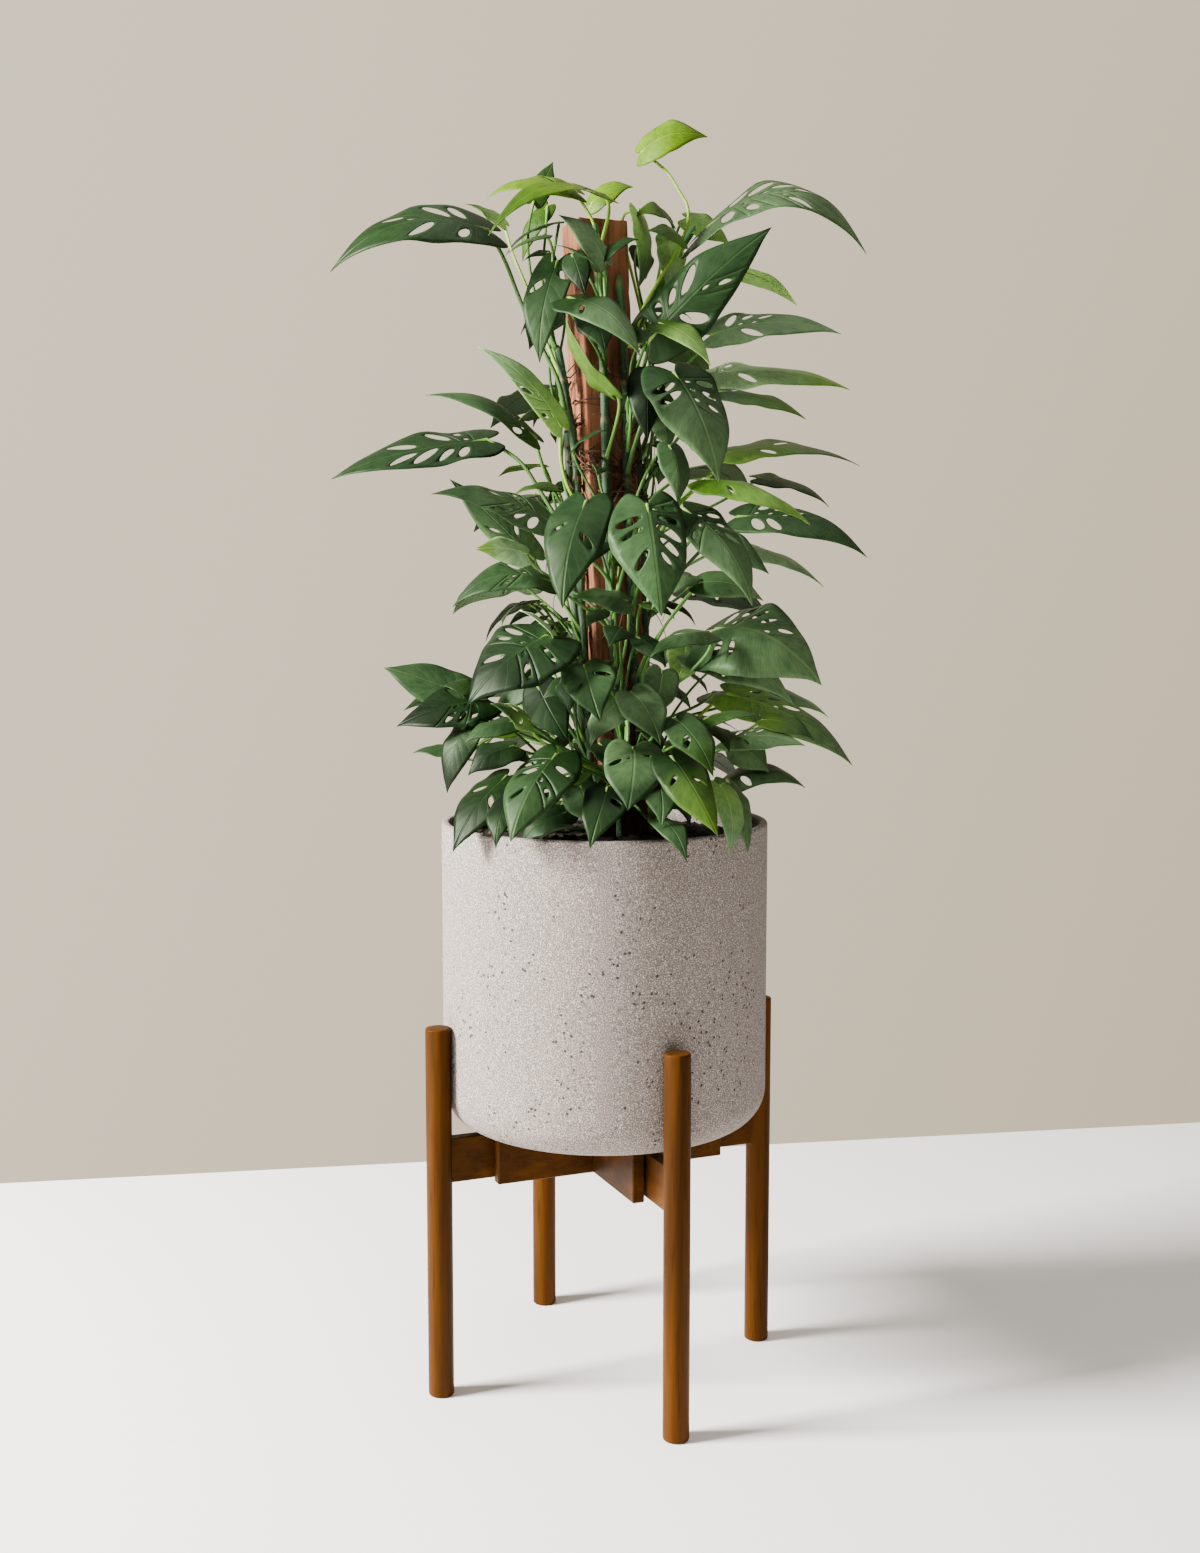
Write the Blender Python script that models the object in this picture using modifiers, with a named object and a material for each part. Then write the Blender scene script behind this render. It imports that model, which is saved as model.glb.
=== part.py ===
"""A climbing Swiss cheese vine on a cedar totem, in a round stone pot on a wooden stand.

Metres, +Z up. The origin is on the floor under the axis of the pot, and -Y is the front.
Sizes below are in millimetres and are turned into metres where they are used.
"""
import math
import random

import bmesh
import bpy
from mathutils import Matrix, Vector

MM = 0.001
GAP = 0.3

# Stand: four round legs and an adjustable cross
LEG_RADIUS = 12.5
LEG_HEIGHT = 366
LEG_CIRCLE = 173
STAND_TURN = 22.4
BOARD_THICK = 12
BOARD_TOP = 260
BOARD_TALL = 50
BOARD_HALF = 120
BOARD_SHIFT = 15
ARM_TALL = 44
ARM_INNER = 45
MORTISE_DEEP = 8
BOLT_AT = 90
BOLT_RADIUS = 3
BOLT_SIDES = 10
ROD_SIDES = 12
BOLT_HEAD = 6
BOLT_HEAD_TALL = 5
BOLT_HEAD_ROUND = 1
BOLT_GRIP = 7
SPACER_RADIUS = 8
INSERT_RADIUS = 5
INSERT_LONG = 8
LEG_SIDES = 16
LEG_ROUND = 2
BOARD_ROUND = 1
CUT_SPARE = 5
DRILL_LENGTH = BOARD_THICK + 2 * CUT_SPARE

# Pot
POT_RADIUS = 160
POT_TOP = 559
POT_BOTTOM = BOARD_TOP + GAP
POT_WALL = 8
POT_FLOOR = 12
POT_FILLET = 35
POT_LIP = 3
POT_SIDES = 36
SOIL_EDGE = 541
SOIL_MOUND = 548
SOIL_MOUND_RADIUS = 110
SOIL_SWELL = 3
FLOOR_ANGLE = -60

# Totem post: square, turned, leaning a little to the left
POST_HALF = 25
POST_TURN = 20
POST_TOP = 1132
POST_BOTTOM = 445
POST_LEAN_START = 560
POST_FOOT_X = 14
POST_HEAD_X = -10
POST_ROUGH = 1.0
POST_CUTS = 12
CORNER_WEAR = 0.05
FACE_WEAR = 0.02

# Vines
STEM_RADIUS = 4.5
STEM_CLEAR = 31.5
STEM_BOTTOM = 500
STEM_STEP = 60
STEM_SWAY = 1.5
STEM_WAVE = 55
LEAN_LENGTH = 110
LEAN_POWER = 1.2
FORK_LENGTH = 40
STEM_HOLE = 80
BLADE_THICK = 0.8
BLADE_WAVE = 0.035
LARGE_LEAF = 70
STALK_STEP = 36
STEM_CLEAR_LOW = 10
STALK_DROP = 25
STALK_FALL = 0.8
LEAF_SEED = 4100
SMOOTH_ANGLE = 35

# Stems: face of the post (degrees), place across it, lowest and highest point,
# how far the head leans away, and the place across where a fork leaves its neighbour
STEMS = {
    "vine_front": [
        dict(face=290, across=-10, low=STEM_BOTTOM, top=1120, lean=0, fork=None),
        dict(face=290, across=11, low=574, top=1075, lean=0, fork=-8),
    ],
    "vine_left": [
        dict(face=200, across=9, low=STEM_BOTTOM, top=1010, lean=14, fork=None),
        dict(face=200, across=-12, low=590, top=940, lean=0, fork=6),
    ],
    "vine_right": [
        dict(face=20, across=-8, low=STEM_BOTTOM, top=1130, lean=66, fork=None),
        dict(face=20, across=13, low=590, top=900, lean=0, fork=-5),
    ],
    "vine_back": [
        dict(face=110, across=10, low=STEM_BOTTOM, top=1125, lean=0, fork=None),
        dict(face=110, across=-11, low=574, top=1040, lean=0, fork=8),
    ],
}

# Leaves: blade base, blade tip, width, the way its upper face looks (compass degrees from
# +X, degrees above level), bow of the midrib as a share of its length, number of holes
LEAVES = {
    "vine_front": [
        ((-28, -22, 1156), (-111, -28, 1150), 42, (270, 56), 0.15, 2),
        ((0, -32, 1150), (-107, -70, 1107), 38, (270, 62), 0.20, 2),
        ((0, -60, 1085), (-42, -60, 1127), 32, (300, 40), 0.10, 0),
        ((-5, -68, 1075), (-45, -88, 1095), 26, (270, 70), 0.10, 0),
        ((0, -58, 1090), (30, -70, 1104), 20, (270, 50), 0.10, 0),
        ((-30, -62, 1090), (-18, -82, 1050), 26, (250, 20), 0.10, 0),
        ((-33, -78, 1049), (32, -124, 995), 44, (250, 60), 0.12, 2),
        ((-15, -60, 1040), (0, -85, 1000), 38, (270, 40), 0.10, 0),
        ((5, -62, 965), (-36, -76, 1032), 38, (200, 10), 0.10, 0),
        ((-30, -52, 915), (0, -80, 930), 22, (270, 60), 0.10, 0),
        ((42, -70, 1013), (151, -80, 1113), 64, (250, 10), 0.05, 5),
        ((50, -80, 1026), (95, -110, 985), 32, (270, 50), 0.10, 0),
        ((63, -92, 980), (103, -140, 882), 74, (290, 25), 0.10, 4),
        ((40, -62, 985), (39, -80, 920), 36, (270, 20), 0.10, 0),
        ((92, -70, 886), (190, -90, 846), 46, (270, 70), 0.10, 3),
        ((60, -70, 916), (68, -86, 862), 30, (290, 20), 0.12, 0),
        ((72, -100, 857), (133, -150, 773), 54, (290, 35), 0.10, 3),
        ((86, -110, 790), (143, -126, 776), 36, (280, 40), 0.12, 0),
        ((78, -105, 797), (42, -135, 767), 34, (250, 40), 0.15, 0),
        ((95, -105, 745), (40, -140, 724), 38, (260, 60), 0.12, 1),
        ((92, -110, 666), (146, -120, 669), 28, (270, 70), 0.10, 0),
        ((64, -130, 667), (97, -165, 620), 40, (280, 40), 0.10, 1),
        ((60, -140, 634), (100, -182, 568), 46, (280, 40), 0.10, 2),
        ((24, -115, 691), (50, -148, 646), 42, (275, 35), 0.10, 0),
        ((26, -115, 640), (20, -165, 588), 60, (270, 38), 0.08, 2),
        ((46, -130, 616), (50, -170, 574), 36, (285, 40), 0.10, 0),
        ((48, -150, 578), (72, -190, 546), 26, (290, 50), 0.15, 0),
        ((2, -140, 605), (-14, -180, 558), 42, (260, 40), 0.10, 1),
        ((-22, -115, 604), (-10, -150, 574), 40, (255, 35), 0.08, 1),
        ((12, -105, 681), (-14, -135, 644), 38, (255, 45), 0.10, 0),
        ((66, -100, 596), (101, -136, 574), 26, (270, 70), 0.10, 0),
        ((38, -125, 860), (50, -170, 762), 70, (272, 30), 0.06, 6),
        ((-17, -100, 864), (-38, -150, 767), 58, (255, 30), 0.08, 2),
        ((20, -80, 774), (-30, -98, 778), 36, (270, 50), 0.10, 0),
        ((-50, -75, 846), (-157, -96, 876), 48, (258, 52), 0.10, 4),
        ((-73, -88, 817), (-118, -106, 822), 34, (250, 36), 0.10, 0),
        ((-52, -80, 792), (-141, -90, 770), 46, (265, 58), 0.20, 2),
        ((-40, -92, 730), (-76, -122, 766), 28, (240, 50), 0.10, 0),
        ((-54, -115, 742), (-124, -150, 684), 86, (248, 38), 0.12, 4),
        ((-70, -102, 665), (-104, -122, 681), 38, (255, 50), 0.08, 2),
        ((-85, -90, 662), (-130, -100, 644), 30, (255, 60), 0.10, 0),
        ((-84, -115, 641), (-125, -130, 617), 36, (250, 45), 0.15, 0),
        ((-44, -130, 635), (-84, -180, 562), 58, (252, 36), 0.08, 4),
        ((-88, -138, 596), (-98, -170, 556), 30, (250, 40), 0.12, 0),
        ((-19, -120, 715), (-4, -165, 667), 50, (268, 40), 0.10, 2),
        ((-5, -78, 640), (25, -108, 604), 40, (300, 50), 0.10, 0),
        ((-25, -90, 563), (-60, -122, 557), 26, (270, 80), 0.10, 0),
        ((54, -66, 708), (42, -94, 664), 36, (280, 30), 0.10, 0),
    ],
    "vine_left": [
        ((-110, -20, 1121), (-257, -40, 1081), 60, (262, 42), 0.20, 4),
        ((-44, -33, 1090), (-61, -54, 994), 44, (250, 15), 0.10, 2),
        ((-41, -52, 936), (-117, -62, 1008), 27, (235, 48), 0.10, 2),
        ((-66, -20, 928), (-170, -20, 970), 36, (270, 62), 0.12, 2),
        ((-114, 0, 928), (-262, -25, 895), 64, (268, 55), 0.04, 5),
        ((-68, -25, 814), (-148, -22, 890), 34, (245, 40), 0.10, 2),
        ((-128, -20, 682), (-213, -20, 712), 52, (258, 42), 0.02, 0),
        ((-122, -40, 691), (-154, -45, 693), 24, (250, 50), 0.10, 0),
        ((-114, -42, 680), (-198, -52, 655), 56, (250, 45), 0.10, 3),
        ((-126, -60, 662), (-149, -76, 594), 38, (240, 20), 0.10, 0),
        ((-147, 0, 626), (-189, 5, 625), 22, (270, 60), 0.10, 0),
        ((-92, -82, 610), (-140, -126, 546), 54, (235, 36), 0.12, 2),
        ((-64, -40, 692), (-34, -70, 640), 44, (250, 30), 0.10, 0),
    ],
    "vine_right": [
        ((35, 0, 1197), (97, -10, 1209), 38, (270, 30), 0.20, 0),
        ((96, -10, 1124), (245, -36, 1097), 80, (270, 58), 0.30, 5),
        ((118, 42, 1096), (190, 50, 1063), 30, (90, 72), 0.10, 0),
        ((80, 30, 1142), (122, 34, 1118), 34, (270, 45), 0.10, 0),
        ((61, -20, 1132), (25, -26, 1130), 28, (270, 50), 0.30, 0),
        ((32, -22, 1136), (32, -34, 1064), 36, (330, 10), 0.10, 0),
        ((74, -30, 1110), (40, -50, 1116), 26, (270, 40), 0.12, 0),
        ((49, -36, 956), (59, -42, 910), 26, (280, 15), 0.10, 0),
        ((103, 0, 1027), (228, 10, 1030), 50, (270, 52), 0.08, 3),
        ((97, 30, 993), (242, 38, 982), 62, (270, 64), 0.08, 2),
        ((109, -30, 970), (190, -40, 945), 38, (270, 66), 0.08, 1),
        ((120, 0, 915), (248, 10, 906), 60, (270, 70), 0.08, 2),
        ((127, -30, 853), (250, -44, 819), 43, (270, 45), 0.14, 4),
        ((94, -40, 842), (154, -65, 799), 38, (270, 45), 0.10, 1),
        ((106, -50, 747), (201, -94, 698), 94, (276, 36), 0.28, 5),
        ((86, -35, 726), (181, -55, 680), 52, (270, 55), 0.10, 3),
        ((120, -10, 683), (242, -30, 620), 50, (270, 50), 0.07, 3),
        ((151, -50, 661), (200, -60, 643), 28, (270, 55), 0.10, 0),
        ((115, -60, 643), (189, -70, 638), 42, (270, 65), 0.10, 3),
        ((128, -28, 636), (158, -38, 610), 38, (280, 40), 0.10, 0),
        ((116, -20, 598), (194, -30, 597), 42, (270, 60), 0.20, 1),
        ((108, -92, 602), (114, -140, 546), 32, (300, 30), 0.12, 0),
        ((116, -65, 604), (133, -112, 542), 30, (310, 40), 0.12, 0),
        ((78, -22, 734), (66, -42, 690), 34, (285, 25), 0.10, 0),
        ((60, -12, 1114), (58, -26, 1064), 32, (300, 15), 0.10, 0),
    ],
    "vine_back": [
        ((-97, 20, 1135), (-135, 20, 1154), 26, (270, 60), 0.10, 0),
        ((-69, 40, 1160), (-50, 45, 1199), 24, (280, 25), 0.08, 0),
        ((-44, 28, 1138), (-96, 22, 1106), 26, (200, 70), 0.12, 0),
        ((-56, 60, 1160), (-82, 66, 1108), 24, (250, 30), 0.12, 0),
        ((154, 60, 895), (228, 70, 870), 36, (270, 68), 0.08, 0),
        ((119, 45, 829), (221, 55, 789), 44, (270, 68), 0.08, 2),
        ((150, 36, 683), (227, 46, 660), 38, (270, 66), 0.08, 0),
        ((-12, 14, 1153), (27, 12, 1168), 32, (270, 42), 0.15, 0),
        ((-30, 75, 1075), (-78, 138, 1032), 56, (110, 48), 0.12, 2),
        ((42, 80, 1045), (112, 150, 1000), 60, (70, 45), 0.12, 2),
        ((-50, 62, 985), (-118, 122, 952), 58, (125, 50), 0.10, 2),
        ((18, 90, 960), (18, 186, 916), 62, (90, 42), 0.10, 2),
        ((78, 82, 905), (158, 158, 880), 56, (60, 48), 0.12, 2),
        ((-70, 72, 880), (-138, 148, 846), 60, (130, 48), 0.10, 2),
        ((-4, 100, 850), (-24, 192, 800), 60, (95, 38), 0.10, 2),
        ((90, 92, 790), (178, 150, 752), 58, (60, 45), 0.12, 2),
        ((-82, 62, 792), (-158, 112, 764), 58, (125, 52), 0.10, 2),
        ((-50, 110, 740), (-98, 190, 700), 58, (115, 40), 0.10, 2),
        ((48, 110, 728), (98, 190, 688), 60, (65, 40), 0.10, 2),
        ((-108, 62, 690), (-208, 100, 662), 52, (125, 50), 0.10, 2),
        ((112, 84, 680), (188, 140, 646), 50, (60, 48), 0.10, 2),
        ((-58, 112, 640), (-108, 186, 604), 50, (118, 42), 0.10, 2),
        ((22, 120, 630), (12, 192, 592), 52, (90, 40), 0.10, 2),
        ((92, 108, 612), (146, 172, 580), 46, (60, 44), 0.10, 1),
    ],
}

# Blade plan as shares of the length and of the half width, from the base to the tip
LARGE_MIDRIB = (0.0, 0.20, 0.44, 0.70)
LARGE_EDGE = ((-0.15, 0.46), (0.02, 0.90), (0.28, 1.0), (0.56, 0.80), (0.81, 0.38))
SMALL_MIDRIB = (0.0, 0.30, 0.62)
SMALL_EDGE = ((-0.12, 0.48), (0.06, 0.88), (0.40, 0.96), (0.72, 0.54))
HOLE_ORDER = ((1, 1), (0, -1), (0, 1), (1, -1), (2, 1), (2, -1))
LOBE_SHARE = 1.6
LOBE_LIMITS = (0.5, 1.4)
HOLE_ALONG = (0.24, 0.76)
HOLE_ACROSS = (0.24, 0.70)

# How a leaf stalk bends, as shares of its span: outwards and up where it leaves the stem,
# and from below and behind where it meets the blade
STALK_START = (0.28, 0.42)
STALK_END = (0.26, 0.14)
STALK_RADIUS = (1.1, 0.005)

COLOURS = {
    "stone": ((0.55, 0.50, 0.46), 0.85),
    "stand_wood": ((0.22, 0.10, 0.035), 0.55),
    "totem_wood": ((0.36, 0.15, 0.09), 0.85),
    "soil": ((0.012, 0.010, 0.008), 0.95),
    "foliage": ((0.045, 0.125, 0.035), 0.45),
    "black_steel": ((0.008, 0.009, 0.010), 0.45),
}


def clear_scene():
    for item in list(bpy.data.objects):
        bpy.data.objects.remove(item, do_unlink=True)


def new_collection(name):
    collection = bpy.data.collections.new(name)
    bpy.context.scene.collection.children.link(collection)
    return collection


def make_material(name):
    colour, rough = COLOURS[name]
    mat = bpy.data.materials.new(name)
    mat.use_nodes = True
    shader = mat.node_tree.nodes["Principled BSDF"]
    shader.inputs["Base Color"].default_value = (*colour, 1.0)
    shader.inputs["Roughness"].default_value = rough
    shader.inputs["Metallic"].default_value = 0.0
    return mat


def add_object(name, mesh, finish, home):
    obj = bpy.data.objects.new(name, mesh)
    home.objects.link(obj)
    if finish:
        mesh.materials.append(finish)
    return obj


def bmesh_object(name, bm, finish, home):
    mesh = bpy.data.meshes.new(name)
    bm.to_mesh(mesh)
    bm.free()
    return add_object(name, mesh, finish, home)


def as_cutter(obj):
    obj.hide_render = True
    obj.display_type = "WIRE"
    return obj


def cut(obj, cutter):
    mod = obj.modifiers.new(cutter.name, "BOOLEAN")
    mod.operation = "DIFFERENCE"
    mod.solver = "EXACT"
    mod.object = cutter


def turned(name, profile, steps, finish, home, closed=False):
    """A profile of (radius, height) in millimetres, turned round Z."""
    mesh = bpy.data.meshes.new(name)
    verts = [(r * MM, 0.0, z * MM) for r, z in profile]
    edges = [(i, i + 1) for i in range(len(verts) - 1)]
    if closed:
        edges.append((len(verts) - 1, 0))
    mesh.from_pydata(verts, edges, [])
    obj = add_object(name, mesh, finish, home)
    screw = obj.modifiers.new("turn", "SCREW")
    screw.steps = steps
    screw.render_steps = steps
    screw.use_merge_vertices = True
    screw.merge_threshold = 0.00001
    screw.use_smooth_shade = True
    return obj


def block(name, size, centre, degrees, finish, home, bevel=0.0):
    """A box of the given size, centred, turned round Z."""
    bm = bmesh.new()
    bmesh.ops.create_cube(bm, size=1.0)
    bmesh.ops.scale(bm, vec=Vector(size) * MM, verts=bm.verts)
    obj = bmesh_object(name, bm, finish, home)
    obj.location = Vector(centre) * MM
    obj.rotation_euler = (0.0, 0.0, math.radians(degrees))
    if bevel:
        mod = obj.modifiers.new("edges", "BEVEL")
        mod.width = bevel * MM
        mod.segments = 1
        mod.limit_method = "ANGLE"
    return obj


def tube(name, points, radius, resolution, finish, home):
    """A capped mesh tube along points in metres."""
    curve = bpy.data.curves.new(name, "CURVE")
    curve.dimensions = "3D"
    curve.bevel_depth = radius * MM
    curve.bevel_resolution = resolution
    curve.use_fill_caps = True
    spline = curve.splines.new("POLY")
    spline.points.add(len(points) - 1)
    for point, place in zip(spline.points, points):
        point.co = (*place, 1.0)
    guide = bpy.data.objects.new(name, curve)
    home.objects.link(guide)
    bpy.context.view_layer.update()
    graph = bpy.context.evaluated_depsgraph_get()
    mesh = bpy.data.meshes.new_from_object(guide.evaluated_get(graph))
    matrix = guide.matrix_world.copy()
    bpy.data.objects.remove(guide, do_unlink=True)
    bm = bmesh.new()
    bm.from_mesh(mesh)
    bmesh.ops.remove_doubles(bm, verts=bm.verts, dist=0.00001)
    bmesh.ops.recalc_face_normals(bm, faces=bm.faces)
    bm.to_mesh(mesh)
    bm.free()
    obj = add_object(name, mesh, finish, home)
    obj.matrix_world = matrix
    return obj


def direction(degrees):
    angle = math.radians(degrees)
    return Vector((math.cos(angle), math.sin(angle), 0.0))


def face_direction(compass, height):
    flat = direction(compass) * math.cos(math.radians(height))
    return flat + Vector((0.0, 0.0, math.sin(math.radians(height))))


def make_leg(index, finish, parts, cutters):
    """A round leg with a blind mortise for its arm, on the inner side."""
    along = direction(STAND_TURN + 90 * index)
    bm = bmesh.new()
    bmesh.ops.create_cone(
        bm,
        cap_ends=True,
        segments=LEG_SIDES,
        radius1=LEG_RADIUS * MM,
        radius2=LEG_RADIUS * MM,
        depth=LEG_HEIGHT * MM,
    )
    leg = bmesh_object(f"leg_{index + 1}", bm, finish, parts)
    leg.location = along * LEG_CIRCLE * MM + Vector((0.0, 0.0, LEG_HEIGHT / 2 * MM))
    leg.rotation_euler = (0.0, 0.0, math.radians(STAND_TURN + 90 * index))
    round_ends = leg.modifiers.new("ends", "BEVEL")
    round_ends.width = LEG_ROUND * MM
    round_ends.segments = 1
    round_ends.limit_method = "ANGLE"
    round_ends.angle_limit = math.radians(60)
    reach = MORTISE_DEEP + 2 * CUT_SPARE
    middle = LEG_CIRCLE - LEG_RADIUS + MORTISE_DEEP + GAP - reach / 2
    centre = along * middle + Vector((0.0, 0.0, BOARD_TOP - BOARD_TALL / 2))
    size = (reach, BOARD_THICK + 2 * GAP, ARM_TALL + 2 * GAP)
    pocket = block(f"mortise_{index + 1}", size, centre, STAND_TURN + 90 * index, None, cutters)
    cut(leg, as_cutter(pocket))
    return leg


def bolt_place(index):
    """Point on the arm's middle where its bolt crosses, and the way to the centre board."""
    along = direction(STAND_TURN + 90 * index)
    side = -1 if index % 2 == 0 else 1
    across = along if index < 2 else -along
    to_board = Vector((-across.y, across.x, 0.0)) * side
    middle = along * BOLT_AT + Vector((0.0, 0.0, BOARD_TOP - BOARD_TALL / 2))
    return middle, to_board


def lay_on_axis(obj, start, along):
    """Stand a turned piece's Z axis along a direction, its zero at the start point."""
    turn = Vector((0.0, 0.0, 1.0)).rotation_difference(along).to_matrix().to_4x4()
    obj.matrix_world = Matrix.Translation(start * MM) @ turn


def make_arm(index, finish, parts, cutters):
    """A flat arm from its leg's mortise to beside the centre board, and its bolt hole."""
    along = direction(STAND_TURN + 90 * index)
    outer = LEG_CIRCLE - LEG_RADIUS + MORTISE_DEEP
    centre = along * (ARM_INNER + outer) / 2 + Vector((0.0, 0.0, BOARD_TOP - BOARD_TALL / 2))
    size = (outer - ARM_INNER, BOARD_THICK, ARM_TALL)
    arm = block(f"arm_{index + 1}", size, centre, STAND_TURN + 90 * index, finish, parts, BOARD_ROUND)
    middle, to_board = bolt_place(index)
    drill = turned_rod(f"arm_drill_{index + 1}", BOLT_RADIUS + GAP, DRILL_LENGTH, None, cutters)
    lay_on_axis(drill, middle - to_board * (BOARD_THICK / 2 + CUT_SPARE), to_board)
    cut(arm, as_cutter(drill))
    return arm


def turned_rod(name, radius, length, finish, home):
    bm = bmesh.new()
    bmesh.ops.create_cone(
        bm,
        cap_ends=True,
        segments=ROD_SIDES,
        radius1=radius * MM,
        radius2=radius * MM,
        depth=length * MM,
    )
    bmesh.ops.translate(bm, vec=(0.0, 0.0, length / 2 * MM), verts=bm.verts)
    return bmesh_object(name, bm, finish, home)


def make_board(index, finish, parts, cutters):
    """One of the two centre boards, halved over the other, with a blind pocket for each insert."""
    along = direction(STAND_TURN + 90 * index)
    across = Vector((-along.y, along.x, 0.0)) * (-1 if index == 0 else 1)
    mid = Vector((0.0, 0.0, BOARD_TOP - BOARD_TALL / 2))
    centre = across * BOARD_SHIFT + mid
    size = (2 * BOARD_HALF, BOARD_THICK, BOARD_TALL)
    board = block(f"cross_bar_{index + 1}", size, centre, STAND_TURN + 90 * index, finish, parts, BOARD_ROUND)
    other = direction(STAND_TURN + 90 * (1 - index))
    other_across = Vector((-other.y, other.x, 0.0)) * (-1 if index == 1 else 1)
    lift = BOARD_TALL / 4 + CUT_SPARE - GAP / 2
    notch_centre = across * BOARD_SHIFT + other_across * BOARD_SHIFT + mid
    notch_centre = notch_centre + Vector((0.0, 0.0, lift if index == 0 else -lift))
    notch_size = (BOARD_THICK + 2 * GAP, 2 * BOARD_THICK, BOARD_TALL / 2 + 2 * CUT_SPARE)
    notch = block(f"half_lap_{index + 1}", notch_size, notch_centre, STAND_TURN + 90 * index, None, cutters)
    cut(board, as_cutter(notch))
    for arm in (index, index + 2):
        middle, to_board = bolt_place(arm)
        deep = CUT_SPARE + INSERT_LONG + 2 * GAP
        pocket = turned_rod(f"insert_pocket_{arm + 1}", INSERT_RADIUS + GAP, deep, None, cutters)
        lay_on_axis(pocket, middle + to_board * (BOARD_SHIFT - BOARD_THICK / 2 - CUT_SPARE), to_board)
        cut(board, as_cutter(pocket))
    return board


def ring(name, inner, outer, thick, finish, home):
    profile = [(inner, 0), (inner, thick), (outer, thick), (outer, 0)]
    return turned(name, profile, BOLT_SIDES, finish, home, closed=True)


def make_bolt_set(index, finish, parts):
    """A bolt through the arm and its spacer, into a threaded insert sunk in the board."""
    middle, to_board = bolt_place(index)
    half = BOARD_THICK / 2
    length = GAP + BOARD_SHIFT + BOLT_GRIP
    profile = [
        (0, BOLT_HEAD_TALL),
        (BOLT_HEAD - BOLT_HEAD_ROUND, BOLT_HEAD_TALL),
        (BOLT_HEAD, BOLT_HEAD_TALL - BOLT_HEAD_ROUND),
        (BOLT_HEAD, 0),
        (BOLT_RADIUS, 0),
        (BOLT_RADIUS, -length),
        (0, -length),
    ]
    bolt = turned(f"bolt_{index + 1}", profile, BOLT_SIDES, finish, parts)
    lay_on_axis(bolt, middle - to_board * (half + GAP), -to_board)
    spacer_thick = BOARD_SHIFT - BOARD_THICK - 2 * GAP
    spacer = ring(f"spacer_{index + 1}", BOLT_RADIUS + GAP, SPACER_RADIUS, spacer_thick, finish, parts)
    lay_on_axis(spacer, middle + to_board * (half + GAP), to_board)
    insert = ring(f"nut_{index + 1}", BOLT_RADIUS + GAP, INSERT_RADIUS, INSERT_LONG, finish, parts)
    lay_on_axis(insert, middle + to_board * (BOARD_SHIFT - half + GAP), to_board)


def arc(centre_r, centre_z, radius, start, stop, count):
    """Points of a round stretch of a profile, angles in degrees from +R towards +Z."""
    points = []
    for i in range(count + 1):
        angle = math.radians(start + (stop - start) * i / count)
        points.append((centre_r + radius * math.cos(angle), centre_z + radius * math.sin(angle)))
    return points


def make_pot(finish, parts):
    inner = POT_RADIUS - POT_WALL
    inner_fillet = POT_FILLET - POT_WALL
    floor = POT_BOTTOM + POT_FLOOR
    profile = [(0, floor), (inner - inner_fillet, floor)]
    profile += arc(inner - inner_fillet, floor + inner_fillet, inner_fillet, FLOOR_ANGLE, 0, 2)
    profile += arc(inner + POT_LIP, POT_TOP - POT_LIP, POT_LIP, 180, 90, 1)
    profile += arc(POT_RADIUS - POT_LIP, POT_TOP - POT_LIP, POT_LIP, 90, 0, 2)
    profile += arc(POT_RADIUS - POT_FILLET, POT_BOTTOM + POT_FILLET, POT_FILLET, 0, -90, 4)
    profile += [(0, POT_BOTTOM)]
    return turned("pot", profile, POT_SIDES, finish, parts)


def make_soil(finish, parts):
    """The filled inside of the pot, a little mounded round the totem."""
    inner = POT_RADIUS - POT_WALL - 2 * GAP
    fillet = POT_FILLET - POT_WALL
    floor = POT_BOTTOM + POT_FLOOR + GAP
    profile = [(0, SOIL_MOUND), (SOIL_MOUND_RADIUS, SOIL_EDGE + SOIL_SWELL), (inner, SOIL_EDGE)]
    profile += arc(inner - fillet, floor + fillet, fillet, 0, FLOOR_ANGLE, 2)
    profile += [(inner - fillet - CUT_SPARE, floor), (0, floor)]
    return turned("soil", profile, POT_SIDES, finish, parts)


def post_centre(z):
    share = max(z - POST_LEAN_START, 0.0) / (POST_TOP - POST_LEAN_START)
    return Vector((POST_FOOT_X + (POST_HEAD_X - POST_FOOT_X) * share, 0.0, z))


def post_body(name, half, low, high, cuts, rough, finish, home):
    """A square post that follows the lean, with uneven sawn faces above the soil."""
    bm = bmesh.new()
    bmesh.ops.create_cube(bm, size=1.0)
    upright = [e for e in bm.edges if abs(e.verts[0].co.z - e.verts[1].co.z) > 0.5]
    bmesh.ops.subdivide_edges(bm, edges=upright, cuts=cuts)
    level = [e for e in bm.edges if abs(e.verts[0].co.z - e.verts[1].co.z) < 0.01]
    bmesh.ops.subdivide_edges(bm, edges=level, cuts=1)
    draw = random.Random(LEAF_SEED)
    turn = Matrix.Rotation(math.radians(POST_TURN), 3, "Z")
    for vert in sorted(bm.verts, key=lambda v: (v.co.z, v.co.x, v.co.y)):
        z = low + (vert.co.z + 0.5) * (high - low)
        across = Vector((vert.co.x * 2 * half, vert.co.y * 2 * half, 0.0))
        if z > POST_LEAN_START:
            corner = abs(vert.co.x) + abs(vert.co.y) > 0.9
            across = across * (1 - draw.uniform(0.0, CORNER_WEAR if corner else FACE_WEAR) * rough)
        vert.co = (turn @ across + post_centre(z)) * MM
    bmesh.ops.recalc_face_normals(bm, faces=bm.faces)
    return bmesh_object(name, bm, finish, home)


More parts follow.
